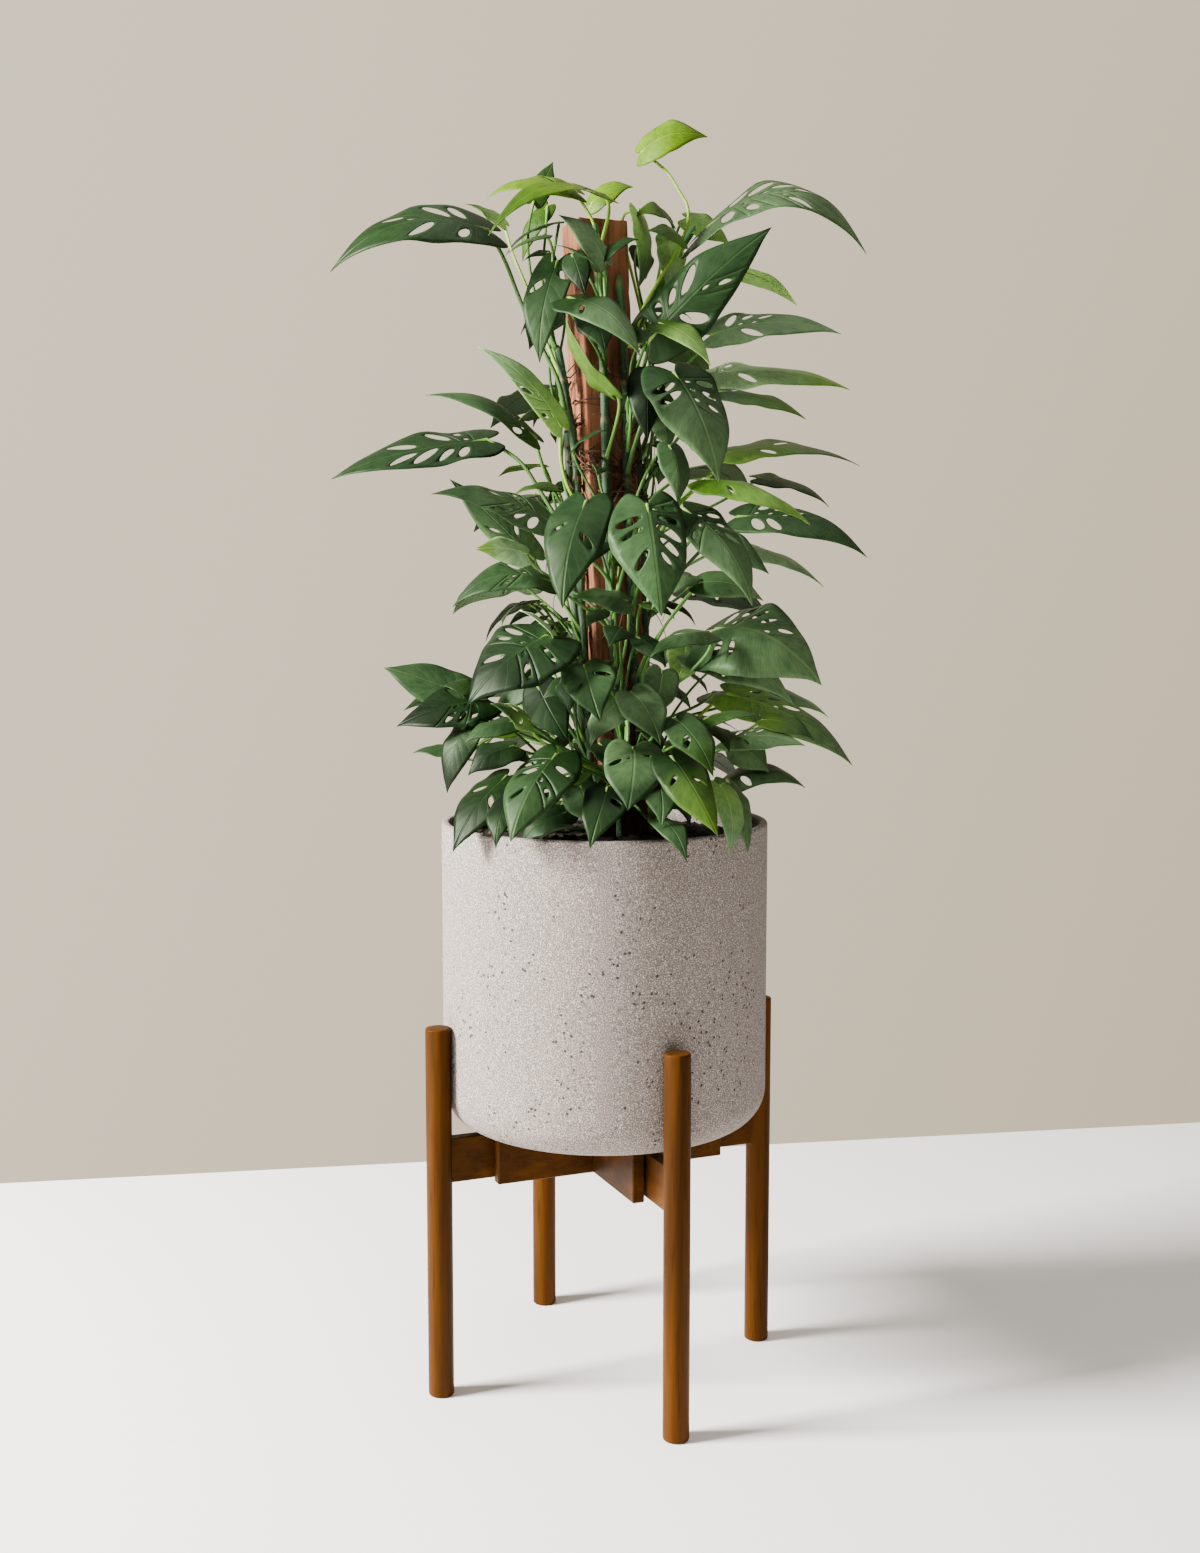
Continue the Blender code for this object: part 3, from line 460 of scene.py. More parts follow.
floor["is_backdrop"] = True
for name, lamp in studio["lamps"].items():
    light = bpy.data.lights.new(name, "AREA")
    light.energy = lamp["power"]
    light.size = lamp["size"]
    light.color = lamp["colour"]
    aim = Vector(studio["aim"]) - Vector(lamp["place"])
    hold(name, light, lamp["place"], aim.to_track_quat("-Z", "Y").to_euler())

# The world is the wall, from left to right, where it faces the camera, and the room elsewhere. The wall going
# from brighter on the left to darker on the right is painted light: the key's light falling off across the wall
world = bpy.data.worlds.new("studio")
world.use_nodes = True
nodes, links = world.node_tree.nodes, world.node_tree.links
backdrop = nodes["Background"]
backdrop.inputs["Strength"].default_value = studio["strength"]
way = nodes.new("ShaderNodeTexCoord").outputs["Generated"]
mixes = []
for axis, low, high, far, near in (
    # painted light: the wall brighter towards the left and darker towards the right
    ((1, 0, -0.35), -0.42, 0.42, studio["wallLeft"], studio["wallRight"]),
    ((0, 1, 0), 0.50, 0.85, studio["room"], studio["room"]),
):
    toward = nodes.new("ShaderNodeVectorMath")
    toward.operation = "DOT_PRODUCT"
    toward.inputs[1].default_value = axis
    links.new(way, toward.inputs[0])
    share = nodes.new("ShaderNodeMapRange")
    share.inputs["From Min"].default_value = low
    share.inputs["From Max"].default_value = high
    links.new(toward.outputs["Value"], share.inputs["Value"])
    mix = nodes.new("ShaderNodeMix")
    mix.data_type = "RGBA"
    mix.inputs[6].default_value = (*far, 1)
    mix.inputs[7].default_value = (*near, 1)
    links.new(share.outputs[0], mix.inputs[0])
    mixes.append(mix)
links.new(mixes[0].outputs[2], mixes[1].inputs[7])
links.new(mixes[1].outputs[2], backdrop.inputs["Color"])
bpy.context.scene.world = world
print("floor and lights placed")

# Stand, sizes in millimetres
stand = {
    "legRadius": 12.5, "legTall": 366, "legCircle": 173, "legRound": 2.2,
    "boardThick": 12, "boardMiddle": 235, "boardShift": 15, "boltAt": 90,
    "boltRadius": 3, "headRadius": 6, "headTall": 5, "headRound": 0.6, "socket": (2.8, 2.6), "grip": 7,
    "spacerRadius": 8, "insertRadius": 5, "insertLong": 8, "gap": 0.3,
}


def makeLegs():
    leg = cylinder("leg1", 48, stand["legRadius"], 0, stand["legTall"])
    bevel(leg, level, stand["legRound"], 4)
    legs = [smooth(leg, 40)]
    for number in (2, 3, 4):
        piece = leg.copy()
        piece.data = leg.data.copy()
        piece.name = f"leg{number}"
        bpy.context.scene.collection.objects.link(piece)
        legs.append(piece)
    for index, piece in enumerate(legs):
        place = compass(standTurn + 90 * index) * stand["legCircle"] * mm
        piece.data.transform(Matrix.Translation(place) @ Matrix.Rotation(math.radians(90 * index), 4, "Z"))
        settle(piece, "legs", "stand_wood", f"leg_{index + 1}")


def tube(name, radius, long):
    # a steel ring round a bolt, with its foot at the origin
    piece = cylinder(name, 40, radius, 0, long, end_fill_type="NOTHING")
    bore = stand["boltRadius"] + stand["gap"]
    modify(piece, "SOLIDIFY", thickness=(radius - bore) * mm, offset=-1.0)
    return smooth(piece, 40)


def makeBolts():
    # each bolt goes through its arm and a spacer into an insert sunk in the board
    half = stand["boardThick"] / 2
    gap, shift, head = stand["gap"], stand["boardShift"], stand["headTall"]
    for index in range(4):
        along = compass(standTurn + 90 * index)
        toBoard = Vector((-along.y, along.x, 0)) * (1 if index in (1, 2) else -1)
        middle = along * stand["boltAt"] + Vector((0, 0, stand["boardMiddle"]))
        bolt = cylinder(f"bolt{index + 1}", 32, stand["headRadius"], 0, head)
        sink(bolt, 1, *stand["socket"])
        sink(bolt, -1, stand["headRadius"] - stand["boltRadius"], gap + shift + stand["grip"])
        bevel(bolt, lambda at, way: level(at, way) and at.z > (head - 0.1) * mm, stand["headRound"], 3)
        spacer = tube(f"spacer{index + 1}", stand["spacerRadius"], shift - stand["boardThick"] - 2 * gap)
        insert = tube(f"insert{index + 1}", stand["insertRadius"], stand["insertLong"])
        for piece, towards, at, node in (
            (smooth(bolt, 40), -toBoard, half + gap, "bolt"),
            (spacer, toBoard, half + gap, "spacer"),
            (insert, toBoard, shift - half + gap, "nut"),
        ):
            lean = Vector((0, 0, 1)).rotation_difference(towards).to_matrix().to_4x4()
            piece.data.transform(Matrix.Translation((middle + towards * at) * mm) @ lean)
            settle(piece, "steel", "black_steel", f"{node}_{index + 1}")


makeLegs()
makeBolts()
boards = {"along": ("arm_1", "arm_3", "cross_bar_1"), "across": ("arm_2", "arm_4", "cross_bar_2")}
for key, names in boards.items():
    for name in names:
        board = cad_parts[name]
        board.data.materials.clear()
        board.data.materials.append(finishes[key])
print("stand made")

# Pot, sizes in millimetres
pot = {
    "radius": 160, "top": 559, "bottom": 260.3, "wall": 8, "floor": 12,
    "fillet": 35, "innerFillet": 27, "lip": 2.8, "sides": 192,
}


def makePot():
    outer, top, bottom = pot["radius"], pot["top"], pot["bottom"]
    inner = outer - pot["wall"]
    body = cylinder("pot", pot["sides"], outer, bottom, top)
    sink(body, 1, pot["wall"], top - bottom - pot["floor"])
    for height, radius, wide, segments in (
        (bottom + pot["floor"], inner, pot["innerFillet"], 8),
        (bottom, outer, pot["fillet"], 22),
        (top, outer, pot["lip"], 5),
        (top, inner, pot["lip"], 5),
    ):

        def ring(middle, way):
            out = math.hypot(middle.x, middle.y)
            return abs(middle.z - height * mm) < 0.1 * mm and abs(out - radius * mm) < 1.0 * mm

        bevel(body, ring, wide, segments)
    settle(smooth(body, 40), "pot", "pot_stone", "pot")


makePot()
print("pot made")

# Soil: a crumbly mound and bark chips on it, sizes in millimetres
soil = {
    "radius": 151.3, "edge": 541, "mound": 549, "rings": 21, "sides": 120, "deep": 60, "rough": 3.2,
    "low": 1.5, "chips": 520, "chipSeed": 77, "chipLong": (1.6, 5.2), "chipWide": (0.45, 0.9),
    "chipTall": (0.25, 0.5), "chipTones": "2a1d14 3a281b 54402c 1a1410 6b5238 241a13",
}


def soilHeight(x, y):
    # the mound's height at a place, all in metres
    out = math.hypot(x, y) / (soil["radius"] * mm)
    swell = (soil["mound"] - soil["edge"]) * (1 - min(out, 1.0) ** 2)
    lumps = noise.noise(Vector((x * 60, y * 60, 0))) * 0.7 + noise.noise(Vector((x * 170, y * 170, 3))) * 0.5
    return (soil["edge"] - soil["low"] + swell + soil["rough"] * lumps) * mm


def makeSoil():
    edge = soil["edge"]
    body = cylinder("soil", soil["sides"], soil["radius"], edge - soil["deep"], edge)
    grab(body, "FACE", lambda middle, normal: normal.z > 0.9)
    for ring in range(soil["rings"]):
        bpy.ops.mesh.inset(thickness=soil["radius"] / (soil["rings"] + 1) * mm)
    bpy.ops.mesh.poke()
    modify(body, "SUBSURF", levels=1, render_levels=1, subdivision_type="SIMPLE")
    for vertex in body.data.vertices:
        if vertex.co.z > (edge - 1) * mm:
            vertex.co.z = soilHeight(vertex.co.x, vertex.co.y)
    settle(smooth(body, 60), "soil", "soil", "soil")


class Pile:
    # vertices, faces, maps and tints of many shapes that become one mesh
    def __init__(self):
        self.points, self.tints, self.faces = [], [], []
        self.maps = {"plan": [], "veins": []}

    def point(self, place, tint):
        self.points.append(place * mm)
        self.tints.append((*tint, 1))
        return len(self.points) - 1

    def face(self, corners, plan, veins=None):
        self.faces.append(corners)
        self.maps["plan"].extend(plan)
        self.maps["veins"].extend(veins or plan)

    def make(self, name):
        mesh = bpy.data.meshes.new(name)
        mesh.from_pydata(self.points, [], self.faces)
        for mapName, values in self.maps.items():
            layer = mesh.uv_layers.new(name=mapName)
            layer.data.foreach_set("uv", [c for pair in values for c in pair])
        tint = mesh.color_attributes.new("tint", "FLOAT_COLOR", "POINT")
        tint.data.foreach_set("color", [c for colour in self.tints for c in colour])
        piece = bpy.data.objects.new(name, mesh)
        bpy.context.scene.collection.objects.link(piece)
        return piece


def makeChips():
    draw = random.Random(soil["chipSeed"])
    seed = start("chipSeed", bpy.ops.mesh.primitive_ico_sphere_add, subdivisions=1, radius=1)
    corners = [v.co.copy() for v in seed.data.vertices]
    faces = [tuple(p.vertices) for p in seed.data.polygons]
    bpy.data.objects.remove(seed, do_unlink=True)
    browns = [paint(c) for c in soil["chipTones"].split()]
    pile = Pile()
    for _ in range(soil["chips"]):
        angle = draw.uniform(0, 6.283)
        out = math.sqrt(draw.uniform(0.02, 0.93)) * soil["radius"] * mm
        x, y = out * math.cos(angle), out * math.sin(angle)
        long = draw.uniform(*soil["chipLong"])
        size = Vector((long, long * draw.uniform(*soil["chipWide"]), long * draw.uniform(*soil["chipTall"])))
        turn = Euler((draw.uniform(-0.5, 0.5), draw.uniform(-0.5, 0.5), draw.uniform(0, 6.3))).to_matrix()
        middle = Vector((x, y, soilHeight(x, y))) / mm
        tint = mixed(draw.choice(browns), (0.02, 0.015, 0.01), draw.uniform(0, 0.6))
        first = len(pile.points)
        for corner in corners:
            rough = draw.uniform(0.75, 1.2)
            pile.point(middle + turn @ Vector(c * s * rough for c, s in zip(corner, size)), tint)
        for face in faces:
            pile.face([first + i for i in face], [(0, 0), (1, 0), (0, 1)])
    settle(smooth(pile.make("barkChips"), 30), "chips", "soil")


makeSoil()
makeChips()
print("soil made")

# Totem post, sizes in millimetres: grooves, chips and worn corners are shares of the half width
totem = {
    "half": 25, "turn": 20, "top": 1132, "bottom": 520, "leanStart": 560, "footX": 14, "headX": -10,
    "cuts": 150, "sideCuts": 11, "edgeRound": 1.6, "slack": 0.006, "grooves": 0.022, "chips": 0.07,
    "cornerFrom": 0.82, "headRough": 1.2,
}


def postCentre(z):
    share = max(z - totem["leanStart"], 0) / (totem["top"] - totem["leanStart"])
    return Vector((totem["footX"] + (totem["headX"] - totem["footX"]) * share, 0, z))


def makeTotem():
    half, top, bottom = totem["half"], totem["top"], totem["bottom"]
    post = start(
        "totemPost", bpy.ops.mesh.primitive_cube_add, size=1, location=(0, 0, (top + bottom) / 2 * mm),
        scale=(2 * half * mm, 2 * half * mm, (top - bottom) * mm),
    )
    bevel(post, lambda middle, way: True, totem["edgeRound"], 2)
    for cuts, axis in ((totem["cuts"], 2), (totem["sideCuts"], 0), (totem["sideCuts"], 1)):
        # the long edges have their middle at the post's middle, the short ones at the origin
        centre = (top + bottom) / 2 * mm if axis == 2 else 0
        near, least = (0.1, 0.9) if axis == 2 else (1 * mm, 0.99)
        grab(post, "EDGE", lambda at, way: abs(way[axis]) > least and abs(at[axis] - centre) < near)
        bpy.ops.mesh.subdivide(number_cuts=cuts)
    letGo()
    turn = Matrix.Rotation(math.radians(totem["turn"]), 3, "Z")
    for vertex in post.data.vertices:
        x, y, z = vertex.co
        corner = (abs(x) + abs(y)) / (2 * half * mm) - totem["cornerFrom"]
        corner = max(0.0, corner) / (1 - totem["cornerFrom"])
        grooves = noise.noise(Vector((x * 260, y * 260, z * 14)))
        chips = noise.noise(Vector((x * 40, y * 40, z * 55 + 9)))
        shrink = totem["slack"] + totem["grooves"] * max(grooves, 0) + totem["chips"] * corner * max(chips, 0)
        place = turn @ (Vector((x, y, 0)) * (1 - shrink)) + postCentre(z / mm) * mm
        if z > (top - 6) * mm:
            place.z -= totem["headRough"] * mm * (1 + noise.noise(Vector((x * 90, y * 90, 5))))
        vertex.co = place
    settle(smooth(post, 40), "totem", "totem_wood", "totem_post")


makeTotem()
print("totem made")

# Vine stems, in millimetres: the way that each face of the post looks, and for each stem its place
# across the face, lowest and highest point, how far its top leans out and where its fork starts
faces = {"front": 290, "left": 200, "right": 20, "back": 110}
stems = {
    "front": [(-10, 500, 1120, 0, None), (11, 574, 1075, 0, -8)],
    "left": [(9, 500, 1010, 14, None), (-12, 590, 940, 0, 6)],
    "right": [(-8, 500, 1130, 66, None), (13, 590, 900, 0, -5)],
    "back": [(10, 500, 1125, 0, None), (-11, 574, 1040, 0, 8)],
}

# Leaves, in millimetres: base, tip, width, where the upper face looks (compass and height),
# bow, holes and tone. A second tone is the tip's
leaves = {"front": [
    (-28, -22, 1156, -111, -28, 1150, 42, 270, 56, 0.15, 2, "lime"),
    (0, -32, 1150, -107, -70, 1107, 38, 270, 62, 0.2, 2, "lime/bright"),
    (0, -60, 1085, -42, -60, 1127, 32, 300, 40, 0.1, 0, "pale/grey"),
    (-5, -68, 1075, -45, -88, 1095, 26, 270, 70, 0.1, 0, "moss/night"),
    (0, -58, 1090, 30, -70, 1104, 20, 270, 50, 0.1, 0, "fern"),
    (-30, -62, 1090, -18, -82, 1050, 26, 250, 20, 0.1, 0, "dark/deep"),
    (-33, -78, 1049, 32, -124, 995, 44, 250, 60, 0.12, 2, "fern/grey"),
    (-15, -60, 1040, 0, -85, 1000, 38, 270, 40, 0.1, 0, "deep/dark"),
    (5, -62, 965, -36, -76, 1032, 38, 200, 10, 0.1, 0, "olive"),
    (-30, -52, 915, 0, -80, 930, 22, 270, 60, 0.1, 0, "fern"),
    (42, -70, 1013, 151, -80, 1113, 64, 250, 10, 0.05, 5, "fern/dark"),
    (50, -80, 1026, 95, -110, 985, 32, 270, 50, 0.1, 0, "bright/young"),
    (63, -92, 980, 103, -140, 882, 74, 290, 25, 0.1, 4, "dark/grey"),
    (40, -62, 985, 39, -80, 920, 36, 270, 20, 0.1, 0, "deep"),
    (92, -70, 886, 190, -90, 846, 46, 270, 70, 0.1, 3, "bright/light"),
    (60, -70, 916, 68, -86, 862, 30, 290, 20, 0.12, 0, "moss/grey"),
    (72, -100, 857, 133, -150, 773, 54, 290, 35, 0.1, 3, "fern/grey"),
    (86, -110, 790, 143, -126, 776, 36, 280, 40, 0.12, 0, "moss/grey"),
    (78, -105, 797, 42, -135, 767, 34, 250, 40, 0.15, 0, "grey"),
    (95, -105, 745, 40, -140, 724, 38, 260, 60, 0.12, 1, "grey/dark"),
    (92, -110, 666, 146, -120, 669, 28, 270, 70, 0.1, 0, "mid/night"),
    (64, -130, 667, 97, -165, 620, 40, 280, 40, 0.1, 1, "moss/mid"),
    (60, -140, 634, 100, -182, 568, 46, 280, 40, 0.1, 2, "fern/olive"),
    (24, -115, 691, 50, -148, 646, 42, 275, 35, 0.1, 0, "pale/night"),
    (26, -115, 640, 20, -165, 588, 60, 270, 38, 0.08, 2, "grey/dark"),
    (46, -130, 616, 50, -170, 574, 36, 285, 40, 0.1, 0, "night"),
    (48, -150, 578, 72, -190, 546, 26, 290, 50, 0.15, 0, "night"),
    (2, -140, 605, -14, -180, 558, 42, 260, 40, 0.1, 1, "deep/fern"),
    (-22, -115, 604, -10, -150, 574, 40, 255, 35, 0.08, 1, "night/moss"),
    (12, -105, 681, -14, -135, 644, 38, 255, 45, 0.1, 0, "leek/dark"),
    (66, -100, 596, 101, -136, 574, 26, 270, 70, 0.1, 0, "dark"),
    (38, -125, 860, 50, -170, 762, 70, 272, 30, 0.06, 6, "night/moss"),
    (-17, -100, 864, -38, -150, 767, 58, 255, 30, 0.08, 2, "dark"),
    (20, -80, 774, -30, -98, 778, 36, 270, 50, 0.1, 0, "grey/fern"),
    (-50, -75, 846, -157, -96, 876, 48, 258, 52, 0.1, 4, "grey/dark"),
    (-73, -88, 817, -118, -106, 822, 34, 250, 36, 0.1, 0, "leek/olive"),
    (-52, -80, 792, -141, -90, 770, 46, 265, 58, 0.2, 2, "moss/dark"),
    (-40, -92, 730, -76, -122, 766, 28, 240, 50, 0.1, 0, "leek"),
    (-54, -115, 742, -124, -150, 684, 86, 248, 38, 0.12, 4, "dark/deep"),
    (-70, -102, 665, -104, -122, 681, 38, 255, 50, 0.08, 2, "young/moss"),
    (-85, -90, 662, -130, -100, 644, 30, 255, 60, 0.1, 0, "dark/night"),
    (-84, -115, 641, -125, -130, 617, 36, 250, 45, 0.15, 0, "dark/deep"),
    (-44, -130, 635, -84, -180, 562, 58, 252, 36, 0.08, 4, "fern/night"),
    (-88, -138, 596, -98, -170, 556, 30, 250, 40, 0.12, 0, "deep/fern"),
    (-19, -120, 715, -4, -165, 667, 50, 268, 40, 0.1, 2, "moss/dark"),
    (-5, -78, 640, 25, -108, 604, 40, 300, 50, 0.1, 0, "dark"),
    (-25, -90, 563, -60, -122, 557, 26, 270, 80, 0.1, 0, "dark"),
    (54, -66, 708, 42, -94, 664, 36, 280, 30, 0.1, 0, "grey"),
], "left": [
    (-110, -20, 1121, -257, -40, 1081, 60, 262, 42, 0.2, 4, "night/fern"),
    (-44, -33, 1090, -61, -54, 994, 44, 250, 15, 0.1, 2, "fern/night"),
    (-41, -52, 936, -117, -62, 1008, 27, 235, 48, 0.1, 2, "young/pale"),
    (-66, -20, 928, -170, -20, 970, 36, 270, 62, 0.12, 2, "moss"),
    (-114, 0, 928, -262, -25, 895, 64, 268, 55, 0.04, 5, "dark"),
    (-68, -25, 814, -148, -22, 890, 34, 245, 40, 0.1, 2, "grey/dark"),
    (-128, -20, 682, -213, -20, 712, 52, 258, 42, 0.02, 0, "moss/night"),
    (-122, -40, 691, -154, -45, 693, 24, 250, 50, 0.1, 0, "mid/dark"),
    (-114, -42, 680, -198, -52, 655, 56, 250, 45, 0.1, 3, "fern/deep"),
    (-126, -60, 662, -149, -76, 594, 38, 240, 20, 0.1, 0, "fern/deep"),
    (-147, 0, 626, -189, 5, 625, 22, 270, 60, 0.1, 0, "night/dark"),
    (-92, -82, 610, -140, -126, 546, 54, 235, 36, 0.12, 2, "fern/deep"),
    (-64, -40, 692, -34, -70, 640, 44, 250, 30, 0.1, 0, "deep/dark"),
], "right": [
    (35, 0, 1197, 97, -10, 1209, 38, 270, 30, 0.2, 0, "lime"),
    (96, -10, 1124, 245, -36, 1097, 80, 270, 58, 0.3, 5, "night/grey"),
    (118, 42, 1096, 190, 50, 1063, 30, 90, 72, 0.1, 0, "young"),
    (80, 30, 1142, 122, 34, 1118, 34, 270, 45, 0.1, 0, "olive/light"),
    (61, -20, 1132, 25, -26, 1130, 28, 270, 50, 0.3, 0, "bright"),
    (32, -22, 1136, 32, -34, 1064, 36, 330, 10, 0.1, 0, "young/moss"),
    (74, -30, 1110, 40, -50, 1116, 26, 270, 40, 0.12, 0, "olive/mid"),
    (49, -36, 956, 59, -42, 910, 26, 280, 15, 0.1, 0, "fern/grey"),
    (103, 0, 1027, 228, 10, 1030, 50, 270, 52, 0.08, 3, "pale"),
    (97, 30, 993, 242, 38, 982, 62, 270, 64, 0.08, 2, "leek/light"),
    (109, -30, 970, 190, -40, 945, 38, 270, 66, 0.08, 1, "moss/olive"),
    (120, 0, 915, 248, 10, 906, 60, 270, 70, 0.08, 2, "light/moss"),
    (127, -30, 853, 250, -44, 819, 43, 270, 45, 0.14, 4, "night/moss"),
    (94, -40, 842, 154, -65, 799, 38, 270, 45, 0.1, 1, "grey"),
    (106, -50, 747, 201, -94, 698, 94, 276, 36, 0.28, 5, "night/grey"),
    (86, -35, 726, 181, -55, 680, 52, 270, 55, 0.1, 3, "grey/pale"),
    (120, -10, 683, 242, -30, 620, 50, 270, 50, 0.07, 3, "light/grey"),
    (151, -50, 661, 200, -60, 643, 28, 270, 55, 0.1, 0, "olive/moss"),
    (115, -60, 643, 189, -70, 638, 42, 270, 65, 0.1, 3, "grey/pale"),
    (128, -28, 636, 158, -38, 610, 38, 280, 40, 0.1, 0, "grey"),
    (116, -20, 598, 194, -30, 597, 42, 270, 60, 0.2, 1, "night/grey"),
    (108, -92, 602, 114, -140, 546, 32, 300, 30, 0.12, 0, "young/pale"),
    (116, -65, 604, 133, -112, 542, 30, 310, 40, 0.12, 0, "grey"),
    (78, -22, 734, 66, -42, 690, 34, 285, 25, 0.1, 0, "young"),
    (60, -12, 1114, 58, -26, 1064, 32, 300, 15, 0.1, 0, "young/pale"),
], "back": [
    (-97, 20, 1135, -135, 20, 1154, 26, 270, 60, 0.1, 0, "young/bright"),
    (-69, 40, 1160, -50, 45, 1199, 24, 280, 25, 0.08, 0, "mid"),
    (-44, 28, 1138, -96, 22, 1106, 26, 200, 70, 0.12, 0, "dark"),
    (-56, 60, 1160, -82, 66, 1108, 24, 250, 30, 0.12, 0, "bright"),
    (154, 60, 895, 228, 70, 870, 36, 270, 68, 0.08, 0, "mid"),
    (119, 45, 829, 221, 55, 789, 44, 270, 68, 0.08, 2, "leek/pale"),
    (150, 36, 683, 227, 46, 660, 38, 270, 66, 0.08, 0, "moss/pale"),
    (-12, 14, 1153, 27, 12, 1168, 32, 270, 42, 0.15, 0, "lime"),
    (-30, 75, 1075, -78, 138, 1032, 56, 110, 48, 0.12, 2, "dark"),
    (42, 80, 1045, 112, 150, 1000, 60, 70, 45, 0.12, 2, "mid"),
    (-50, 62, 985, -118, 122, 952, 58, 125, 50, 0.1, 2, "dark"),
    (18, 90, 960, 18, 186, 916, 62, 90, 42, 0.1, 2, "moss"),
    (78, 82, 905, 158, 158, 880, 56, 60, 48, 0.12, 2, "mid"),
    (-70, 72, 880, -138, 148, 846, 60, 130, 48, 0.1, 2, "dark"),
    (-4, 100, 850, -24, 192, 800, 60, 95, 38, 0.1, 2, "mid"),
    (90, 92, 790, 178, 150, 752, 58, 60, 45, 0.12, 2, "dark"),
    (-82, 62, 792, -158, 112, 764, 58, 125, 52, 0.1, 2, "grey"),
    (-50, 110, 740, -98, 190, 700, 58, 115, 40, 0.1, 2, "dark"),
    (48, 110, 728, 98, 190, 688, 60, 65, 40, 0.1, 2, "moss"),
    (-108, 62, 690, -208, 100, 662, 52, 125, 50, 0.1, 2, "mid"),
    (112, 84, 680, 188, 140, 646, 50, 60, 48, 0.1, 2, "dark"),
    (-58, 112, 640, -108, 186, 604, 50, 118, 42, 0.1, 2, "mid"),
    (22, 120, 630, 12, 192, 592, 52, 90, 40, 0.1, 2, "dark"),
    (92, 108, 612, 146, 172, 580, 46, 60, 44, 0.1, 1, "fern"),
]}
tones = {
    "night": "23381e", "dark": "172a14", "moss": "2f4829", "mid": "223912", "grey": "49633f",
    "olive": "456222", "light": "5f8535", "bright": "274106", "lime": "4b6806", "pale": "607f55",
    "young": "7fa954", "deep": "050f05", "fern": "0e2209", "leek": "a0c88f",
}
leafTones = {name: paint(code) for name, code in tones.items()}
growth = {
    "seed": 4100, "moundTop": 548, "lowClear": 10,
    "stemRadius": 4.4, "stemClear": 31.5, "stemSway": 1.5, "stemWave": 55, "forkLength": 40,
    "leanLength": 110, "leanPower": 1.2, "nodeStep": 46, "nodeSwell": 0.9, "stemBuried": 18, "stemOver": 4,
    "stemTones": ("2b432c", "6b5a3c", "3f6b3a"),
}

# Long stalks that take their own way, by the base of their blade, from the stem up
stalkWays = {
    (35, 0, 1197): [
        (24, -34, 1010), (38, -38, 1050), (72, -22, 1110), (79, -14, 1140), (70, -8, 1160), (57, -4, 1180),
    ],
    (-110, -20, 1121): [(-38, -30, 952), (-44, -32, 980), (-58, -30, 1009), (-78, -28, 1051), (-94, -24, 1092)],
    (-114, 0, 928): [(-34, -30, 832), (-46, -30, 852), (-63, -22, 880), (-82, -12, 907)],
    (-97, 20, 1135): [(-42, -24, 985), (-60, -20, 1030), (-74, -8, 1070), (-88, 6, 1104)],
    (-69, 40, 1160): [(-40, -20, 990), (-58, -12, 1040), (-70, 4, 1080), (-74, 24, 1124)],
    (-56, 60, 1160): [(-40, -18, 980), (-54, -6, 1034), (-60, 16, 1080), (-58, 40, 1126)],
    (-44, 28, 1138): [(-38, -16, 975), (-50, -8, 1030), (-54, 6, 1074), (-48, 18, 1112)],
}
stalk = {
    "drop": 25, "fall": 0.8, "start": (0.28, 0.42), "end": (0.26, 0.14), "radius": (1.2, 0.0055),
    "steps": 18, "sides": 8, "sheath": (0.55, 0.22), "knee": (0.22, 0.96, 0.07), "taper": 0.12,
    "ribSteps": 8, "ribReach": 0.93, "ribRadius": 0.46, "ribLeast": 0.16,
    "dull": "night dark deep fern", "vivid": "lime young light",
    "green": ("5f9a3c", 0.28, 0.5), "lime": ("8cb83c", 0.7), "kneeTone": ("9cc05a", 0.35),
}

# Blades: the surface's waves, as shares of the width or length, and the ranges that each leaf
# draws its own shape from, in the order of the draws
blade = {
    "large": 70, "thick": 0.55, "lobe": 1.6, "lobeLimits": (0.5, 1.4), "cup": 0.055, "bulge": 0.002,
    "uneven": 0.05, "wave": 0.035, "ruffle": 0.014, "frill": 0.026, "curlFrom": 0.55, "calm": 0.35,
    "shade": 0.12,
    "varied": {
        "fold": (-0.22, 0.10), "phase": (0.0, 6.2), "skew": (-0.06, 0.06), "sickle": (-0.30, 0.30),
        "curl": (0.0, 0.065), "ripple": (0.6, 1.3), "twist": (-0.28, 0.28), "hang": (0.0, 70.0),
    },
}
# Blade plans: the outline from the stalk to the tip, as shares of the length and half width, where
# the side veins leave the midrib, where they end, counted in outline points, and how many holes
# open for each number in a leaf's row
bladePlans = {
    "large": {
        "outline": [
            (0, 0), (-0.105, 0.22), (-0.15, 0.46), (-0.085, 0.71), (0.02, 0.89), (0.14, 0.98), (0.28, 1.0),
            (0.42, 0.935), (0.56, 0.80), (0.69, 0.60), (0.81, 0.37), (0.91, 0.15), (1.0, 0.0),
        ],
        "midrib": [0, 0.03, 0.08, 0.16, 0.25, 0.36, 0.48, 0.62, 1.0],
        "ends": [1.8, 3.3, 4.8, 6.1, 7.3, 8.4, 9.4, 10.5, 12],
        "holes": [0, 1, 2, 4, 5, 7, 8],
    },
    "small": {
        "outline": [
            (0, 0), (-0.085, 0.22), (-0.12, 0.48), (-0.05, 0.72), (0.06, 0.88), (0.22, 0.97), (0.40, 0.95),
            (0.57, 0.78), (0.72, 0.52), (0.86, 0.22), (1.0, 0.0),
        ],
        "midrib": [0, 0.05, 0.14, 0.26, 0.40, 0.56, 1.0],
        "ends": [1.8, 3.5, 5.1, 6.5, 7.7, 8.7, 10],
        "holes": [0, 1, 2, 3, 4],
    },
}
